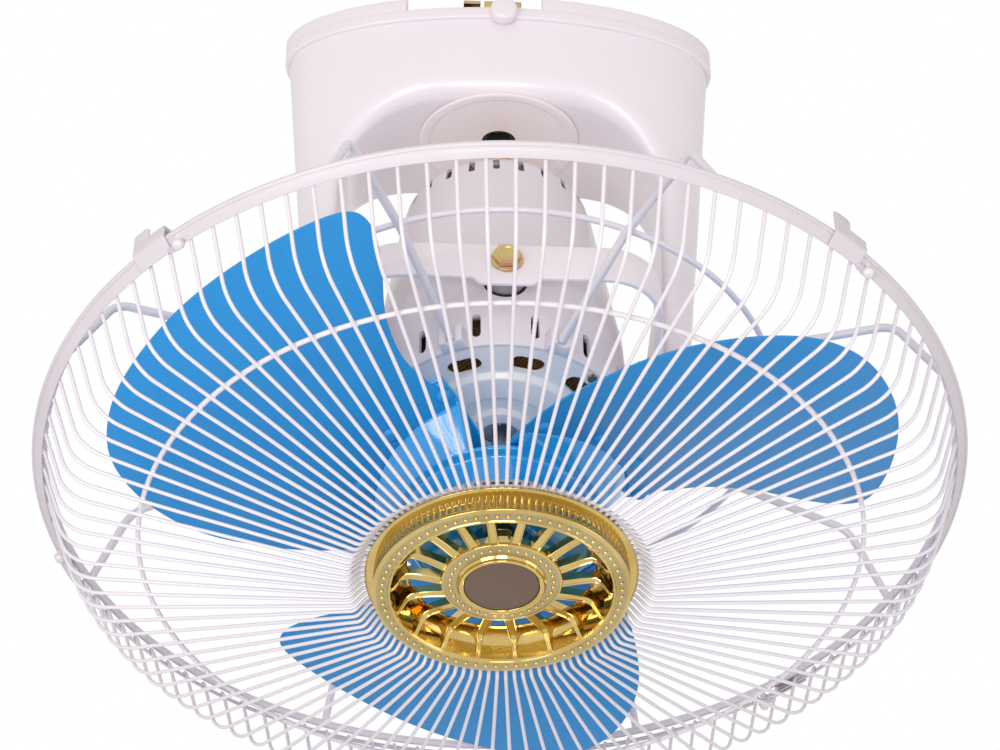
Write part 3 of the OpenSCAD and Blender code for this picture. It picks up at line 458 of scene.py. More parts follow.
class Graph:
    """A geometry node tree with named inputs."""

    def __init__(self, name, inputs):
        self.tree = bpy.data.node_groups.new(name, "GeometryNodeTree")
        face = self.tree.interface
        face.new_socket("Geometry", in_out="INPUT", socket_type="NodeSocketGeometry")
        self.keys = {}
        for label, kind in inputs.items():
            self.keys[label] = face.new_socket(
                label, in_out="INPUT", socket_type="NodeSocket" + kind).identifier
        face.new_socket("Geometry", in_out="OUTPUT", socket_type="NodeSocketGeometry")
        self.source = self.tree.nodes.new("NodeGroupInput")
        self.sink = self.tree.nodes.new("NodeGroupOutput")

    def given(self, label):
        return self.source.outputs[label]

    def node(self, kind, settings=None, sockets=None):
        return new_node(self.tree, kind, settings or {}, sockets or {}).outputs[0]

    def round_the_axis(self, shape):
        """Copies of a shape, each turned a step further about z."""
        index = self.node("GeometryNodeInputIndex")
        turn = self.node("ShaderNodeMath", {"operation": "MULTIPLY_ADD"}, {
            0: index, 1: self.given("Step"), 2: self.given("First")})
        angles = self.node("ShaderNodeCombineXYZ", {}, {"Z": turn})
        copies = self.node("GeometryNodeInstanceOnPoints", {}, {
            "Points": self.node("GeometryNodePoints", {}, {"Count": self.given("Count")}),
            "Instance": shape,
            "Rotation": self.node("FunctionNodeEulerToRotation", {}, {0: angles})})
        real = self.node("GeometryNodeRealizeInstances", {}, {0: copies})
        real = self.node("GeometryNodeSetMaterial", {}, {
            "Geometry": real, "Material": self.given("Finish")})
        self.tree.links.new(real, self.sink.inputs[0])

    def run(self, mesh, **values):
        """A plain mesh of what the tree makes from a mesh."""
        thing = bpy.data.objects.new("repeat", mesh)
        bpy.context.scene.collection.objects.link(thing)
        modifier = thing.modifiers.new("repeat", "NODES")
        modifier.node_group = self.tree
        for label, value in values.items():
            modifier[self.keys[label.replace("_", " ")]] = value
        bpy.context.view_layer.update()
        out = bpy.data.meshes.new_from_object(
            thing.evaluated_get(bpy.context.evaluated_depsgraph_get()))
        bpy.data.objects.remove(thing)
        return out


REPEAT = {"Count": "Int", "First": "Float", "Step": "Float", "Finish": "Material"}

crown = Graph("pieces round an axis", REPEAT)
crown.round_the_axis(crown.given("Geometry"))

cage = Graph("bent wires round an axis", {**REPEAT, "Wire Radius": "Float", "Sides": "Int"})
rod = cage.node("GeometryNodeCurveToMesh", {}, {
    "Curve": cage.node("GeometryNodeMeshToCurve", {}, {0: cage.given("Geometry")}),
    "Profile Curve": cage.node("GeometryNodeCurvePrimitiveCircle", {"mode": "RADIUS"}, {
        "Resolution": cage.given("Sides"), "Radius": cage.given("Wire Radius")}),
    "Fill Caps": True})
cage.round_the_axis(cage.node("GeometryNodeSetShadeSmooth", {}, {0: rod}))


def repeated(mesh, count, first, finish):
    """Copies of a shape, evenly round the axis."""
    return crown.run(mesh, Count=count, First=math.radians(first),
                     Step=math.radians(360 / count), Finish=finish)


def bent_wires(path, diameter, count, first, finish, sides=10):
    """Wires that follow a path of (radius, z), evenly round the axis."""
    line = bpy.data.meshes.new("path")
    line.from_pydata([(r, 0, z) for r, z in path], [(i, i + 1) for i in range(len(path) - 1)], [])
    return cage.run(line, Count=count, First=math.radians(first), Step=2 * math.pi / count,
                    Finish=finish, Wire_Radius=diameter / 2, Sides=sides)


def ball(x, y, z, r, flat=1.0):
    """A ball, pressed flat along z where asked."""
    bm = bmesh.new()
    bmesh.ops.create_icosphere(bm, subdivisions=2, radius=r)
    bmesh.ops.scale(bm, vec=(1, 1, flat), verts=bm.verts)
    bmesh.ops.translate(bm, vec=(x, y, z), verts=bm.verts)
    mesh = bpy.data.meshes.new("ball")
    bm.to_mesh(mesh)
    bm.free()
    mesh.shade_smooth()
    return mesh


# ------------------------------------------------------------------ guard

GUARD_CORNER = (RIM_R - 19, RIM_Z + 41)
GUARD_INNER = (74, RIM_Z + 63)
FRONT_PATH = fillet([(RIM_R - 4.6, RIM_Z + 1.5), (RIM_R - 6.6, RIM_Z + 4.6), GUARD_CORNER,
                     GUARD_INNER, (67.6, SEAT_Z), (59, SEAT_Z)], [0, 6, 20, 4, 3, 0], 8)
WIRES = 108
FIRST_WIRE = 91.2
REAR_SPOKES = 8
FIRST_SPOKE = 67.5
SPOKE_D = 4.3
REAR_RING_R = 139
REAR_RING_D = 3.2
REAR_RING_DROP = 1.7
SPOKE_BEND_Z = RIM_Z - 48.5
RIM_RING_D = 4.2
RIM_RING_AT = Vector((RIM_R - 5.5, RIM_Z - 2.3))
SPOKE_ELBOW = Vector((RIM_R - 26, RIM_Z - 42))
SPOKE_END = RIM_RING_AT - (RIM_RING_AT - SPOKE_ELBOW).normalized() * 2.0
REAR_PATH = fillet([(71, 40.5), (REAR_RING_R, SPOKE_BEND_Z), tuple(SPOKE_ELBOW), tuple(SPOKE_END)],
                   [0, 30, 14, 0], 10)


def face_z(r):
    """Height of the front wires between their bend and the middle."""
    share = (GUARD_CORNER[0] - r) / (GUARD_CORNER[0] - GUARD_INNER[0])
    return GUARD_CORNER[1] + (GUARD_INNER[1] - GUARD_CORNER[1]) * share


MID_R = 175
MID_Z = face_z(MID_R) - 2.3
MID_D = 2.5
INNER_R = 61.5
INNER_Z = SEAT_Z - 2.55
INNER_D = 3


def front_guard():
    """The front wires, the two rings welded behind them and the rim's band."""
    piece("front_wires", bent_wires(FRONT_PATH, WIRE_D, WIRES, FIRST_WIRE, wire_white), "head",
          None, ["front_guard_wires"])
    piece("middle_ring", shaded(ring(MID_R, MID_Z, MID_D / 2)), "head", wire_white,
          ["front_mid_ring"])
    piece("inner_ring", shaded(ring(INNER_R, INNER_Z, INNER_D / 2)), "head", wire_white,
          ["front_inner_ring"])
    welds = joined(ball(MID_R, 0, MID_Z + 1.15, 1.35, 0.6),
                   ball(INNER_R, 0, INNER_Z + 1.4, 1.4, 0.6))
    piece("front_welds", repeated(welds, WIRES, FIRST_WIRE, wire_white), "head", None)
    band = fillet([(0, -0.8), (0, 0.5), (-0.85, 1.65), (-1.35, 1.35), (-1.95, 2.35), (-5.5, 5.5),
                   (-5.5, 4.3), (-1.2, 0), (-1.2, -0.8)],
                  [0.4, 0.5, 0.25, 0.1, 0.3, 0.5, 0.3, 0.5, 0.3], 4, closed=True)
    piece("rim_band", shaded(revolve(shifted(band, RIM_R, RIM_Z), 288), 50), "head", darkened_band_white,
          ["front_rim_band"])


def rear_guard():
    """The eight bent spokes, with the ring under them and the ring they end on."""
    piece("rear_spokes", bent_wires(REAR_PATH, SPOKE_D, REAR_SPOKES, FIRST_SPOKE, wire_white, 16),
          "head", None, ["rear_guard_spokes"])
    ring_z = SPOKE_BEND_Z + 0.2 - SPOKE_D / 2 - REAR_RING_DROP
    piece("rear_ring", shaded(ring(REAR_RING_R, ring_z, REAR_RING_D / 2, 192, 14)), "head",
          wire_white, ["rear_guard_ring"])
    piece("rim_ring", shaded(ring(RIM_RING_AT.x, RIM_RING_AT.y, RIM_RING_D / 2, 288, 14)), "head",
          wire_white, ["rear_rim_ring"])
    welds = joined(ball(REAR_RING_R, 0, SPOKE_BEND_Z - SPOKE_D / 2 + 0.1, 2.2, 0.5),
                   ball(SPOKE_END.x + 0.2, 0, SPOKE_END.y + 0.4, 2.3, 0.7))
    piece("rear_welds", repeated(welds, REAR_SPOKES, FIRST_SPOKE, wire_white), "head", None)


CLIP_ANGLES = (132.3, 45.7, 194.5, -48.1)
CLIP_START, SADDLE_END, HOOK_END = 1.4, 6.5, 4.6
CLIP_LOW = -5.6
TAB_MM = 4
FOOT_R, FOOT_LOW, FOOT_TOP = 3, 5.7, 6.9


def rim_clips():
    """Saddles over the band, each with a thumb tab and a round foot under its rivet.

    Heights are from the rim, and the angles of a clip from its rivet. The tab is drawn flat, with
    TAB_MM for each degree, and then laid round the rim.
    """
    saddle = fillet([(1.6, CLIP_LOW), (1.6, 1.05), (-4.47, 6.45), (-5.13, 5.7), (0.6, 0.61),
                     (0.6, CLIP_LOW)], [0, 2.6, 0.35, 0.2, 1.2, 0], 6, closed=True)
    hook = [(-5.5, CLIP_LOW), (0.6, CLIP_LOW), (0.6, CLIP_LOW + 0.7), (-5.5, CLIP_LOW + 0.7)]
    swept = [revolve(shifted(line, RIM_R, RIM_Z), 16, True, CLIP_START, end)
             for line, end in ((saddle, SADDLE_END), (hook, HOOK_END))]
    tab = fillet([(4.0, CLIP_LOW), (4.0, -10.6), (4.5, -12), (6.5, -12), (6.5, CLIP_LOW)],
                 [0, 0.3, 0.3, 0.9, 0], 6)
    tab = slab([(a * TAB_MM, z) for a, z in tab], 0.6, 1.6)
    for v in tab.vertices:
        a, r = math.radians(v.co.x / TAB_MM), RIM_R + v.co.z
        v.co = (r * math.cos(a), r * math.sin(a), RIM_Z + v.co.y)
    foot = [revolve(fillet([(0, FOOT_LOW), (FOOT_R, FOOT_LOW), (FOOT_R, FOOT_TOP), (0, FOOT_TOP)],
                           [0, 0.3, 0.45, 0], 3), 40, False),
            slab(fillet([(-FOOT_R, 0), (0, 0), (0.6, 6.6), (-2.4, 6.6)], 0.3, 3, closed=True),
                 FOOT_LOW, FOOT_TOP)]
    foot = [turned(part, Matrix.Translation((RIM_R - FOOT_R, 0, RIM_Z))) for part in foot]
    rounded = finished(outward(joined(*swept, outward(tab))), [rounding(0.22, 2, 50)])
    shape = shaded(joined(rounded, *foot), 40)
    for k, angle in enumerate(CLIP_ANGLES):
        clip = "clip_%d" % (k + 1)
        piece("saddle_%d" % (k + 1), turned(shape, about(angle)), clip, darkened_band_white, ["rim_" + clip])


# ------------------------------------------------------------------ housing

LIP_TOP, LIP_LOW, ARM_END = -2, -16, -226
LIP_A, LIP_B, LIP_STEP, BACK_EXTRA = 117, 50, 2.3, 14
DRAFT = 0.084
WALL = 2.5
ARCH_HALF, ARCH_TOP, ARCH_CORNER = 84.5, -60.5, 50
ARCH_HOLE_R = 38
ARM_ROUND = 16.5
FRONT, BACK = 1, -1
ARCH_EDGE = {FRONT: 11, BACK: 1.5}
NOTCH_LEFT, NOTCH_RIGHT, NOTCH_DEEP = -52, 21, 7.5
CORNER_TURN = 52
ARM_STEPS, CORNER_STEPS, TOP_STEPS, EDGE_STEPS, SKIN_STEPS, BRIDGE_STEPS = 26, 20, 12, 8, 18, 12


def half_axes(z, side):
    """Half the width of the housing and its depth on one side, at a height."""
    drawn_in = DRAFT * (LIP_LOW - z)
    extra = BACK_EXTRA if side == BACK else 0
    return LIP_A - LIP_STEP - drawn_in, LIP_B - LIP_STEP - drawn_in + extra


def arm_reach(z, side):
    """How far the arms' round ends reach to one side at a height."""
    deep = (ARM_END + ARM_ROUND - z) / ARM_ROUND
    if deep <= 0:
        return 1000
    a, b = half_axes(ARM_END + ARM_ROUND, FRONT)
    k = math.sqrt(1 - (ARCH_HALF / a) ** 2)
    middle = BACK_EXTRA * k / 2
    return (b * k + middle) * math.sqrt(max(0.0, 1 - deep ** 2)) - side * middle


def skin(theta, z, side):
    """A point of the housing's outside, seen from above, at a height."""
    a, b = half_axes(z, side)
    return a * math.cos(theta), min(b * math.sin(theta), arm_reach(z, side))


def depth(x, z, side):
    """The housing's depth to one side at a place."""
    a, b = half_axes(z, side)
    return min(b * math.sqrt(max(0.0, 1 - (x / a) ** 2)), arm_reach(z, side))


def arch_columns():
    """Columns up one side of the arch, over it and down: arch point, its normal, outer point."""
    tall = ARCH_TOP - ARCH_CORNER
    side = []
    for i in range(ARM_STEPS):
        z = ARM_END + (tall - ARM_END) * (i / ARM_STEPS) ** 0.8
        side.append(((ARCH_HALF, z), (1, 0), (0.0, z)))
    for i in range(CORNER_STEPS + 1):
        a = math.pi / 2 * i / CORNER_STEPS
        x = ARCH_HALF - ARCH_CORNER + ARCH_CORNER * math.cos(a)
        z = tall + ARCH_CORNER * math.sin(a)
        share = i / CORNER_STEPS
        outer = (0.0, tall + (LIP_LOW - tall) * share / 0.5) if share <= 0.5 else (
            (share - 0.5) / 0.5 * math.radians(CORNER_TURN), LIP_LOW)
        side.append(((x, z), (math.cos(a), math.sin(a)), outer))
    for i in range(1, TOP_STEPS + 1):
        share = i / TOP_STEPS
        turn = CORNER_TURN + (90 - CORNER_TURN) * share
        side.append((((ARCH_HALF - ARCH_CORNER) * (1 - share), ARCH_TOP), (0, 1),
                     (math.radians(turn), LIP_LOW)))
    left = [((-x, z), (-nx, nz), (math.pi - turn, outer_z))
            for (x, z), (nx, nz), (turn, outer_z) in reversed(side[:-1])]
    return side + left


def housing_lines(side):
    """The surface on one side as lines from the arch's edge out to the lip."""
    lines = []
    for (x, z), (nx, nz), (theta_o, z_o) in arch_columns():
        rho = min(ARCH_EDGE[side], 0.45 * (depth(x, z, FRONT) + depth(x, z, BACK)) / 2)
        line = []
        for k in range(EDGE_STEPS + 1):
            phi = math.pi / 2 * k / EDGE_STEPS
            d = rho * (1 - math.cos(phi))
            px, pz = x + nx * d, z + nz * d
            line.append((px, -side * (depth(px, pz, side) - rho * (1 - math.sin(phi))), pz))
        px, pz = x + nx * rho, z + nz * rho
        theta_a = math.acos(max(-1, min(1, px / half_axes(pz, side)[0])))
        for k in range(1, SKIN_STEPS + 1):
            t = theta_a + (theta_o - theta_a) * k / SKIN_STEPS
            h = pz + (z_o - pz) * k / SKIN_STEPS
            sx, sy = skin(t, h, side)
            line.append((sx, -side * sy, h))
        lines.append(line)
    return lines


def housing_skin():
    """Both sides of the housing, joined across the arch's edge."""
    sides = [housing_lines(FRONT), housing_lines(BACK)]
    rows, count = len(sides[0][0]), len(sides[0])
    points, faces = [], []
    for lines in sides:
        base = len(points)
        for line in lines:
            points += line
        for i in range(count - 1):
            for k in range(rows - 1):
                a = base + i * rows + k
                faces.append((a, a + 1, a + rows + 1, a + rows))
    half = count * rows
    steps = BRIDGE_STEPS
    base = len(points)
    for front, back in zip(*sides):
        points += [tuple(Vector(front[0]).lerp(Vector(back[0]), m / steps))
                   for m in range(1, steps)]
    for i in range(count - 1):
        def along(i, m):
            if m == 0:
                return i * rows
            return half + i * rows if m == steps else base + i * (steps - 1) + m - 1
        for m in range(steps):
            faces.append((along(i, m), along(i, m + 1), along(i + 1, m + 1), along(i + 1, m)))
    return outward(mesh_of(points, faces))


def lip_band(low, high, a0, a1, steps):
    """A stretch of the lip between two angles, with a rounded foot."""
    foot = 1.1 if low == LIP_LOW else 0.01
    section = fillet([(LIP_STEP, high), (LIP_STEP, low), (-0.2, low), (-0.2, high)],
                     [0.3, foot, 0.3, 0.3], 4, closed=True)
    full = a1 - a0 >= 360
    rows = steps if full else steps + 1
    n = len(section)
    points, faces = [], []
    for i in range(rows):
        a = math.radians(a0 + (a1 - a0) * i / steps)
        back = BACK_EXTRA if math.sin(a) > 0 else 0
        points += [((LIP_A - LIP_STEP + o) * math.cos(a),
                    (LIP_B - LIP_STEP + o + back) * math.sin(a), z) for o, z in section]
    for i in range(steps):
        j = (i + 1) % rows
        faces += [(i * n + k, j * n + k, j * n + (k + 1) % n, i * n + (k + 1) % n)
                  for k in range(n)]
    if not full:
        faces += [tuple(range(n)), tuple(reversed(range((rows - 1) * n, rows * n)))]
    return outward(mesh_of(points, faces))


def housing():
    """The moulding: its skin with a wall, the hole in the arch's ceiling and the notched lip."""
    thick = finished(housing_skin(), [("SOLIDIFY", {
        "thickness": WALL, "offset": -1.0, "use_even_offset": True, "thickness_clamp": 1.0})])
    hole = revolve(shifted([(0, -8), (ARCH_HOLE_R, -8), (ARCH_HOLE_R, 8), (0, 8)], 0, ARCH_TOP),
                   96, False)
    notch_low = LIP_TOP - NOTCH_DEEP
    left = -math.degrees(math.acos(NOTCH_LEFT / LIP_A))
    right = -math.degrees(math.acos(NOTCH_RIGHT / LIP_A))
    shell = joined(carved(thick, [hole]), lip_band(LIP_LOW, notch_low, 0, 360, 240),
                   lip_band(notch_low, LIP_TOP, right, 360 + left, 220))
    piece("housing_shell", shaded(shell, 34), "root", housing_white, ["housing"], ROW)


PLATE_R, PLATE_NECK_R, SOCKET_R = 43.2, 37.2, 9


def socket_plate():
    """The plate in the arch's ceiling, with a rounded bead round its edge."""
    line = fillet(shifted([(SOCKET_R, 6), (SOCKET_R, -1), (36.6, -1), (38.6, -2), (42.0, -2),
                           (PLATE_R, -1.4), (PLATE_R, -0.8), (PLATE_NECK_R, -0.3),
                           (PLATE_NECK_R, 6)], 0, ARCH_TOP),
                  [0, 0.4, 1.2, 1.2, 1.0, 0.4, 0.2, 0, 0], 5, closed=True)
    piece("ceiling_plate", shaded(revolve(line, 192), 50), "root", plate_white, ["socket_plate"],
          ROW)


KNOB_Z = -13.6


def canopy_knobs():
    """The two round-ended pegs through the lip, at the front and the back."""
    knob = revolve(fillet([(0, 6), (7.1, 6), (7.4, 0), (2, 0), (2, -9), (0, -9)],
                          [0, 2.4, 0.5, 0, 0.5, 0], 6), 48, False)
    both = [turned(knob, Matrix.Translation((0, y, KNOB_Z))
                   @ Matrix.Rotation(math.radians(turn), 4, "X"))
            for y, turn in ((-LIP_B - 0.1, 90), (LIP_B + BACK_EXTRA + 0.1, -90))]
    piece("knobs", shaded(joined(*both)), "root", housing_white, ["canopy_knobs"], ROW)


# ------------------------------------------------------------------ motor

MOTOR_R, MOTOR_BACK, MOTOR_FRONT = 65, -113, 42
STATOR_R = 60
BELL_Z = MOTOR_FRONT - 1
REAR_SLOTS, FRONT_SLOTS, BELL_VENTS = 24, 14, 10
VENT_AT, VENT_HALF, VENT_R = 50, 3.95, 4.8
OUTWARDS = Matrix(((0, 0, 1, 0), (1, 0, 0, 0), (0, 1, 0, 0), (0, 0, 0, 1)))


def wedge(r0, r1, width, z0, z1, angle, ends):
    """A radial cutter for a slot with rounded ends."""
    half = width / 2
    outline = fillet([(-half, z0), (half, z0), (half, z1), (-half, z1)], ends, 5, closed=True)
    return turned(turned(slab(outline, r0, r1), OUTWARDS), about(angle))


def rear_cover():
    """The drawn cover behind the stator, with slots round its end."""
    outside = [(MOTOR_R - 1.2, -12), (MOTOR_R - 1.9, -16), (MOTOR_R - 4, -30),
               (MOTOR_R - 13, MOTOR_BACK + 20)]
    outside += arc(38, MOTOR_BACK + 12, 12, 0, -90, 10) + [(20, MOTOR_BACK), (6, MOTOR_BACK)]
    inside = [(6, MOTOR_BACK + 2), (38, MOTOR_BACK + 2)]
    inside += arc(38, MOTOR_BACK + 13, 11, -90, 0, 10)
    inside += [(MOTOR_R - 15, MOTOR_BACK + 20), (MOTOR_R - 6, -30), (STATOR_R + 0.1, -12)]
    shell = revolve(outside + inside, 240)
    slots = [wedge(41, 60, 3.4, MOTOR_BACK + 1.4, MOTOR_BACK + 16, 93 + 360 * i / REAR_SLOTS, 1.0)
             for i in range(REAR_SLOTS)]
    piece("rear_cover", shaded(carved(shell, slots), 30), "head", shell_white,
          ["motor_rear_cover"])


def front_shell():
    """The shell round the stator, with slots and two round windows for the strap's bolts."""
    profile = fillet([(STATOR_R + 0.1, -12), (MOTOR_R - 1, -12), (MOTOR_R, 6), (MOTOR_R, 36),
                      (MOTOR_R - 1, MOTOR_FRONT), (MOTOR_R - 2.8, MOTOR_FRONT),
                      (MOTOR_R - 2.8, 39.3), (MOTOR_R - 8, 39.3), (MOTOR_R - 8, 37.5),
                      (MOTOR_R - 3, 37.5), (MOTOR_R - 2, 34), (MOTOR_R - 2, 22),
                      (STATOR_R + 0.1, 21)],
                     [0, 0.8, 0, 0, 1.2, 0.5, 0, 0.4, 0.4, 0.8, 1, 1, 0], 4, closed=True)
    shell = revolve(profile, 240)
    slots = [wedge(57, 68, 4.3, 22.0, 37.0, 90 + 360 * (i + 0.5) / FRONT_SLOTS, 2.14)
             for i in range(FRONT_SLOTS)]
    window = revolve([(0, 56), (11, 56), (11, 70), (0, 70)], 64, False)
    slots += [turned(window, Matrix.Rotation(math.radians(s), 4, "X")) for s in (90, -90)]
    piece("front_shell", shaded(carved(shell, slots), 30), "head", shell_white,
          ["motor_front_shell"])


def end_bell():
    """The motor's front end: a stepped nose and a ring of oval vents."""
    profile = fillet([(11, 34), (14, 34), (14, 39.3), (62, 39.3)] + shifted(
        [(62, 0), (43, -0.2), (40.5, 2.8), (27.5, 3.8), (26, 1.4), (18, 1.6), (16.6, 4.8),
         (10.6, 5), (10, 4.4), (10, 0.4), (11, 0.2)], 0, BELL_Z),
        [0.2, 0.5, 0.8, 0.4, 0.7, 2.0, 1.6, 1.0, 1.2, 1.0, 1.0, 0.4, 0.4, 0.1, 0.1], 5, closed=True)
    bell = revolve(profile, 240)
    oval = arc(VENT_AT, VENT_HALF, VENT_R, 0, 180, 10) + arc(VENT_AT, -VENT_HALF, VENT_R, 180, 360,
                                                            10)
    vents = [turned(slab(oval, 30, 50), about(77 + 360 * i / BELL_VENTS))
             for i in range(BELL_VENTS)]
    piece("front_bell", shaded(carved(bell, vents), 30), "head", brightened_bell_white, ["end_bell"])


STRAP_IN, STRAP_T, STRAP_CORNER, STRAP_HALF = 77, 2.5, 30, 11.25
TAB_HALF, TAB_SWELL, TAB_DROP = 15.5, 2.4, 4.3
HEAD_BORE_R, PIVOT_BORE_R = 4.05, 6


def strap():
    """The rounded square frame, whose edge swells into a tab at the front and the back."""
    out = STRAP_IN + STRAP_T
    corner = out - STRAP_CORNER
    flat = [corner * (2 * i / 60 - 1) for i in range(1, 60)]
    bend = [(p, q, None) for p, q in zip(arc(corner, corner, STRAP_CORNER, 0, 90, 14),
                                         arc(corner, corner, STRAP_CORNER - STRAP_T, 0, 90, 14))]
    places = []
    for quarter in range(4):
        turn = about(90 * quarter)
        side = [((out, v), (STRAP_IN, v), v if quarter % 2 else None) for v in flat]
        for p, q, tab in side + bend:
            places.append((turn @ Vector((*p, 0)), turn @ Vector((*q, 0)), tab))
    points, faces = [], []
    for p, q, tab in places:
        edge = STRAP_HALF
        if tab is not None:
            share = max(0.0, min(1.0, (TAB_HALF + TAB_SWELL - abs(tab)) / 5.2))
            edge += TAB_DROP * share * share * (3 - 2 * share)
        points += [(p.x, p.y, -STRAP_HALF), (p.x, p.y, edge), (q.x, q.y, edge),
                   (q.x, q.y, -STRAP_HALF)]
    n = len(places)
    for i in range(n):
        j = (i + 1) % n
        faces += [(4 * i + k, 4 * j + k, 4 * j + (k + 1) % 4, 4 * i + (k + 1) % 4)
                  for k in range(4)]
    band = finished(outward(mesh_of(points, faces)), [rounding(0.7, 3, 60)])
    bores = [turned(revolve([(0, 70), (r, 70), (r, 90), (0, 90)], 48, False),
                    Matrix.Rotation(math.radians(turn), 4, axis))
             for axis, r in (("X", HEAD_BORE_R), ("Y", PIVOT_BORE_R)) for turn in (90, -90)]
    piece("strap_band", shaded(carved(band, bores), 34), "strap", brightened_strap_white, ["gimbal_strap"])


BOLT_AT = 79.8
HEX_HALF, HEX_TOP, DISH_R = 6.5, 4.8, 6.0


def flange_bolts():
    """The two bolts that carry the head, each with a round flange and a dished hex."""
    shank = fillet([(0, -17.8), (4, -17.8), (4, 0), (8.2, 0), (8.2, 1.0), (6.6, 1.7), (0, 1.7)],
                   [0, 0.5, 0, 0.2, 0.4, 0.6, 0], 4)
    count = 72
    hexagon = [HEX_HALF / math.cos(math.radians((360 * i / count) % 60 - 30))
               for i in range(count)]
    rings = [[(r, 1.5) for r in hexagon],
             [(r, HEX_TOP - 0.5 * max(0.0, r - DISH_R)) for r in hexagon]]
    rings += [[(r, z)] * count
              for r, z in ((DISH_R, HEX_TOP), (5.2, HEX_TOP), (4.4, 4.2), (0.01, 4.0))]
    points, faces = [], []
    for line in rings:
        points += [(r * math.cos(2 * math.pi * i / count), r * math.sin(2 * math.pi * i / count), z)
                   for i, (r, z) in enumerate(line)]
    for k in range(len(rings) - 1):
        faces += [(k * count + i, k * count + (i + 1) % count,
                   (k + 1) * count + (i + 1) % count, (k + 1) * count + i) for i in range(count)]
    faces.append(tuple(reversed(range(count))))
    bolt = joined(revolve(shank, 64, False), outward(mesh_of(points, faces)))
    both = [turned(bolt, Matrix.Rotation(math.radians(turn), 4, "X")
                   @ Matrix.Translation((0, 0, BOLT_AT))) for turn in (90, -90)]
    piece("flange_bolts", shaded(joined(*both), 30), "head", zinc, ["gimbal_bolts"])


# ------------------------------------------------------------------ badge

FLUTES, FLUTE_DEEP = 116, 0.6
RIBS, FIRST_RIB = 18, 100
CREST_BEADS, CREST_BEAD_AT = 72, 57.5
DISC_BEADS, DISC_BEAD_AT, FIRST_DISC_BEAD = 36, 25.0, 5
CREST_Z = BEZEL_Z + 11.4
DRUM_R = 61.9
WELL_LOW = 130.2


def scalloped(low, high, steps=10, rows=6):
    """The drum's wall between two points of (radius, z), with narrow flutes round it."""
    (r0, z0), (r1, z1) = low, high
    points, faces = [], []
    total = FLUTES * steps
    for i in range(total):
        a = 2 * math.pi * i / total
        ripple = FLUTE_DEEP * max(0.0, 1 - (min(i % steps, -i % steps) / 2) ** 2)
        for k in range(rows + 1):
            s = k / rows
            end = min(1.0, min(s, 1 - s) * 7)
            r = r0 + (r1 - r0) * s + (ripple - FLUTE_DEEP) * end
            points.append((r * math.cos(a), r * math.sin(a), z0 + (z1 - z0) * s))
    for i in range(total):
        j = (i + 1) % total
        for k in range(rows):
            a, b = i * (rows + 1) + k, j * (rows + 1) + k
            faces.append((a, b, b + 1, a + 1))
    return mesh_of(points, faces)


# Stations of a rib: radius, half its width, its underside and its top.
RIB_STATIONS = (
    (28.2, 2.4, 134.6, 139.6), (32, 2.3, 134.0, 138.8), (38, 2.2, 133.2, 137.6),
    (43, 2.1, 132.6, 136.9), (45.6, 2.0, 131.6, 137.0), (47.6, 1.5, 131.0, 138.2),
    (49.4, 1.2, 131.0, 141.0), (51.8, 1.1, 131.0, 145.0), (53.6, 1.1, 131.0, 146.2))


def bezel_rib():
    """One spoke of the bezel, grooved along its top, which runs up the inner wall in a foot."""
    points, faces = [], []
    for r, w, low, high in RIB_STATIONS:
        side = [(-w, low), (-w, high - 0.3), (-w + 0.2, high), (-w + 0.5, high),
                (-w + 0.8, high - 0.5)]
        points += [(r, y, z) for y, z in side + [(-y, z) for y, z in reversed(side)]]
    n = 10
    for i in range(len(RIB_STATIONS) - 1):
        faces += [(i * n + k, i * n + (k + 1) % n, (i + 1) * n + (k + 1) % n, (i + 1) * n + k)
                  for k in range(n)]
    faces += [tuple(range(n)), tuple(reversed(range(len(points) - n, len(points))))]
    return shaded(outward(mesh_of(points, faces)), 25)


def bezel_wall():
    """The bezel's flange, fluted drum, crest and bowl-shaped inner wall."""
    flange = fillet(shifted([(61.0, 0), (66, 0), (66, 0.9), (64.8, 1.7), (62.6, 1.9), (61.0, 2.0)],
                            0, BEZEL_Z), [0, 0.4, 0.5, 0.8, 0.5, 0], 4, closed=True)
    crest = fillet(shifted([(60.4, -1.8), (62.0, -1.7), (62.2, -0.8), (61.0, 0), (60.0, -0.1)],
                           0, CREST_Z), [0, 0.5, 0.6, 0.6, 0], 4)
    crest.append((60.4, CREST_Z - 2.2))
    well = fillet(shifted([(54.9, -0.1), (54.5, 0.5), (53.6, 0.4), (53.0, -1.0)], 0, CREST_Z)
                  + [(50.8, 138.6), (47.0, WELL_LOW + 1.0), (46.4, WELL_LOW), (45.6, WELL_LOW)],
                  [0.2, 0.3, 0.5, 0.6, 14, 1.0, 0.4, 0], 6)
    well += [(45.6, 129.95), (54.5, 129.95), (57.0, CREST_Z - 2.2), (57.0, CREST_Z - 0.4)]
    drum = scalloped((DRUM_R, BEZEL_Z + 1.8), (DRUM_R, CREST_Z - 1.4))
    return joined(shaded(revolve(flange, 232)), shaded(revolve(crest, 232)), shaded(drum, 60),
                  shaded(revolve(well, 232)))


def bezel_centre():
    """The turned hub of the bezel, round the disc."""
    line = [(0, 3), (20, 3), (27.6, 2.4), (27.6, -0.4), (29.6, -0.4), (29.6, 3.6), (29.0, 5.0),
            (28.0, 5.1), (27.9, 4.4), (21.9, 4.6), (21.8, 5.4), (20.9, 6.4), (20.4, 7.8),
            (19.4, 8.0), (18.3, 7.2), (18.2, 4.8), (0, 4.8)]
    radii = [0, 0.5, 0.6, 0.2, 0.3, 0.8, 0.5, 0.2, 0.2, 0.2, 0.3, 0.5, 0.5, 0.5, 0.5, 0, 0]
    return shaded(revolve(fillet(shifted(line, 0, BEZEL_Z), radii, 4), 128, False))


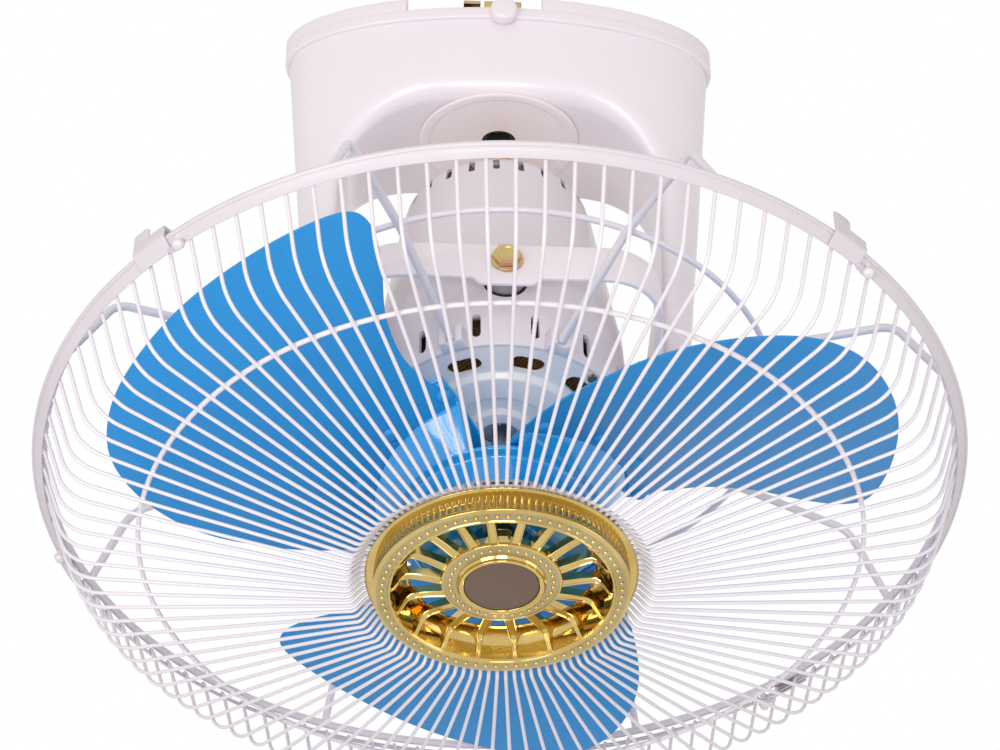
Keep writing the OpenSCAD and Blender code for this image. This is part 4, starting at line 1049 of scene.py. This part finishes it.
def badge():
    """The gold bezel and its plain disc."""
    piece("bezel_mirror", bezel_wall(), "head", gold_mirror, ["badge_bezel"])
    crest_ground = shifted([(54.8, -0.12), (60.2, -0.05), (60.2, -1.6), (54.8, -1.6)], 0, CREST_Z)
    disc_ground = shifted([(21.6, 4.9), (28.2, 4.7), (28.2, 3.8), (21.6, 3.8)], 0, BEZEL_Z)
    piece("bezel_ground", joined(shaded(revolve(crest_ground, 192)),
                                 shaded(revolve(disc_ground, 128))), "head", gold_ground)
    ribs = repeated(bezel_rib(), RIBS, FIRST_RIB, gold_mirror)
    piece("bezel_centre", joined(bezel_centre(), ribs), "head", gold_mirror)
    beads = joined(repeated(ball(CREST_BEAD_AT, 0, CREST_Z, 1.15), CREST_BEADS, 0, gold_mirror),
                   repeated(ball(DISC_BEAD_AT, 0, BEZEL_Z + 4.9, 1.05), DISC_BEADS,
                            FIRST_DISC_BEAD, gold_mirror))
    piece("bezel_beads", beads, "head", gold_mirror)
    disc = fillet(shifted([(0, 4.6), (18.1, 4.6), (18.1, 7.0), (0, 7.4)], 0, BEZEL_Z),
                  [0, 0.1, 0.5, 0], 4)
    piece("plain_disc", shaded(revolve(disc, 96, False)), "head", disc_brown, ["badge_disc"])


# ------------------------------------------------------------------ fan

BLADE_EDGE = [(60, -29), (78, -29), (98, -33), (120, -46), (142, -67), (160, -79), (174, -76),
              (187, -50), (196, -16), (199, 15), (196, 47), (188, 72), (173, 92), (152, 103),
              (126, 107), (100, 104), (74, 94), (52, 82), (34, 68), (25, 57.5)]
BLADES = 3
ROOT_R = 63
RIVET_R = ROOT_R + 7
RIVET_ANGLES = (-23, 4.5, 32, 58)
HUB_T = 2.8


def spline(points, steps):
    """A smooth run through given points."""
    out = []
    last = len(points) - 1
    for i in range(last):
        a, b, c, d = (Vector(points[max(0, min(last, i + k))]) for k in (-1, 0, 1, 2))
        for k in range(steps):
            t = k / steps
            out.append(0.5 * (2 * b + (c - a) * t + (2 * a - 5 * b + 4 * c - d) * t * t
                              + (3 * b - a - 3 * c + d) * t ** 3))
    return out + [Vector(points[last])]


def blade_place(k):
    """From a flat blade to its pitched place on the hub."""
    return (about(BLADE_PHASE + 120 * k) @ Matrix.Translation((0, 0, BLADE_Z))
            @ Matrix.Rotation(math.radians(BLADE_PITCH), 4, "X"))


def blades():
    """The three sheet blades and the rivets that hold them."""
    edge = [p for p in spline(BLADE_EDGE, 9) if p.length > ROOT_R + 0.4]
    a0 = math.degrees(math.atan2(edge[0].y, edge[0].x))
    a1 = math.degrees(math.atan2(edge[-1].y, edge[-1].x))
    outline = [tuple(p) for p in edge] + arc(0, 0, ROOT_R, a1 + 0.5, a0 - 0.5, 30)
    flat = finished(slab(outline, -BLADE_T / 2, BLADE_T / 2), [rounding(0.45, 3, 50)])
    for k in range(BLADES):
        piece("blade_sheet_%d" % (k + 1), shaded(turned(flat, blade_place(k)), 40), "fan",
              blade_blue, ["blade_%d" % (k + 1)])
    head = revolve(fillet([(0, 2.2), (2.4, 2.0), (4.0, 0.5), (4.0, 0), (0, 0)],
                          [0, 1.4, 0.3, 0, 0], 5), 28, False)
    tail = revolve(fillet([(0, 0), (3.0, 0), (3.0, -1.2), (2.0, -1.7), (0, -1.7)],
                          [0, 0.1, 0.3, 0.4, 0], 4), 24, False)
    rivets = []
    for k in range(BLADES):
        for a in RIVET_ANGLES:
            spot = blade_place(k) @ about(a) @ Matrix.Translation((RIVET_R, 0, BLADE_T / 2))
            rivets += [turned(head, spot),
                       turned(tail, spot @ Matrix.Translation((0, 0, -BLADE_T - HUB_T)))]
    piece("rivet_heads", shaded(joined(*rivets)), "fan", blade_blue, ["blade_rivets"])


FACE_IN, FACE_OUT, FACE_Z, FACE_TOP = 18, 40.2, 115, 118


def hub():
    """The hub's solid with a shallow recess in its face, its creases softened as a moulding's."""
    recess = revolve([(FACE_IN, FACE_Z), (FACE_OUT, FACE_Z), (FACE_OUT + 1, FACE_TOP),
                      (FACE_IN, FACE_TOP)], 96)
    solid = carved(packed("fan_hub"), [turned(recess, ROW.inverted() @ HEAD)])
    soft = finished(solid, [("REMESH", {"mode": "VOXEL", "voxel_size": 0.75, "adaptivity": 0.0}),
                            ("SMOOTH", {"factor": 0.5, "iterations": 3}),
                            ("DECIMATE", {"decimate_type": "COLLAPSE", "ratio": 0.35})])
    soft.shade_smooth()
    piece("hub_moulding", soft, "fan", hub_blue, ["fan_hub"], ROW)


front_guard()
rear_guard()
housing()
canopy_knobs()
socket_plate()
rim_clips()
rear_cover()
front_shell()
end_bell()
strap()
flange_bolts()
badge()
blades()
hub()

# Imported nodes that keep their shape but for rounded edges: body and width of the rounding.
EASED = {
    "ceiling_bracket": ("root", 0.4), "yoke": ("root", 0.5), "pivot_bolts": ("root", 0.6),
    "crank_arm": ("crank", 0.5), "spoke_clips": ("head", 0.5), "hub_nut": ("fan", 0.5),
    "yoke_bolts": ("root", 0.3), "gimbal_bosses": ("head", 0.4), "clip_rivets": ("head", 0.3),
}
for node, (body, width) in EASED.items():
    piece("eased_" + node, eased(node, width), body, NODE_FINISH[node], [node], ROW)


# ------------------------------------------------------------------ camera and light

EYE = (-0.0632, -1.2193, -0.9376)
RISE, SWING = 30.83, -3
FOCAL = 99.62


def camera():
    """A long lens that looks up at the fan from the front."""
    lens = bpy.data.cameras.new("camera")
    lens.sensor_width = 36
    lens.lens = FOCAL
    lens.clip_start, lens.clip_end = 0.05, 30
    eye = bpy.data.objects.new("camera", lens)
    eye.location = EYE
    eye.rotation_euler = (math.radians(90 + RISE), 0, math.radians(SWING))
    bpy.context.scene.collection.objects.link(eye)
    bpy.context.scene.camera = eye


SKY_LIGHT, SKY_SEEN, MIRRORED = 0.6, 1.0, 0.9


def sky():
    """White behind the fan, nearly so in its reflections, and softer as a source of light."""
    world = bpy.data.worlds.new("studio")
    bpy.context.scene.world = world
    world.use_nodes = True
    tree = world.node_tree
    tree.nodes.clear()

    def maths(operation, a, b):
        return new_node(tree, "ShaderNodeMath", {"operation": operation}, {0: a, 1: b}).outputs[0]

    path = tree.nodes.new("ShaderNodeLightPath").outputs
    bounced = maths("MAXIMUM", maths("MULTIPLY", path["Is Glossy Ray"], MIRRORED),
                    path["Is Transmission Ray"])
    seen = maths("MAXIMUM", path["Is Camera Ray"], bounced)
    level = new_node(tree, "ShaderNodeMapRange", {}, {
        "Value": seen, "To Min": SKY_LIGHT, "To Max": SKY_SEEN})
    back = new_node(tree, "ShaderNodeBackground", {}, {
        "Color": (1, 1, 1, 1), "Strength": level.outputs[0]})
    new_node(tree, "ShaderNodeOutputWorld", {}, {"Surface": back.outputs[0]})


def lamp(name, place, target, size, power):
    """A soft rectangular lamp, turned to a target."""
    light = bpy.data.lights.new(name, "AREA")
    light.shape = "RECTANGLE"
    light.size, light.size_y = size
    light.energy = power
    thing = bpy.data.objects.new(name, light)
    thing.location = place
    aim = Vector(target) - Vector(place)
    thing.rotation_euler = aim.to_track_quat("-Z", "Y").to_euler()
    bpy.context.scene.collection.objects.link(thing)


camera()
sky()
lamp("left softbox", (-0.85, -1.25, -0.85), (0, 0, -0.22), (0.7, 0.6), 7.2)
lamp("front softbox", (-0.05, -1.45, -0.95), (0, 0, -0.24), (0.5, 0.4), 8)
lamp("right softbox", (1.5, -0.6, -0.7), (0, 0, -0.22), (0.8, 1.0), 2.5)
lamp("rear softbox", (0.2, 1.6, 0.2), (0, 0, -0.2), (1.2, 0.8), 3)

bpy.context.scene.view_settings.view_transform = "Standard"
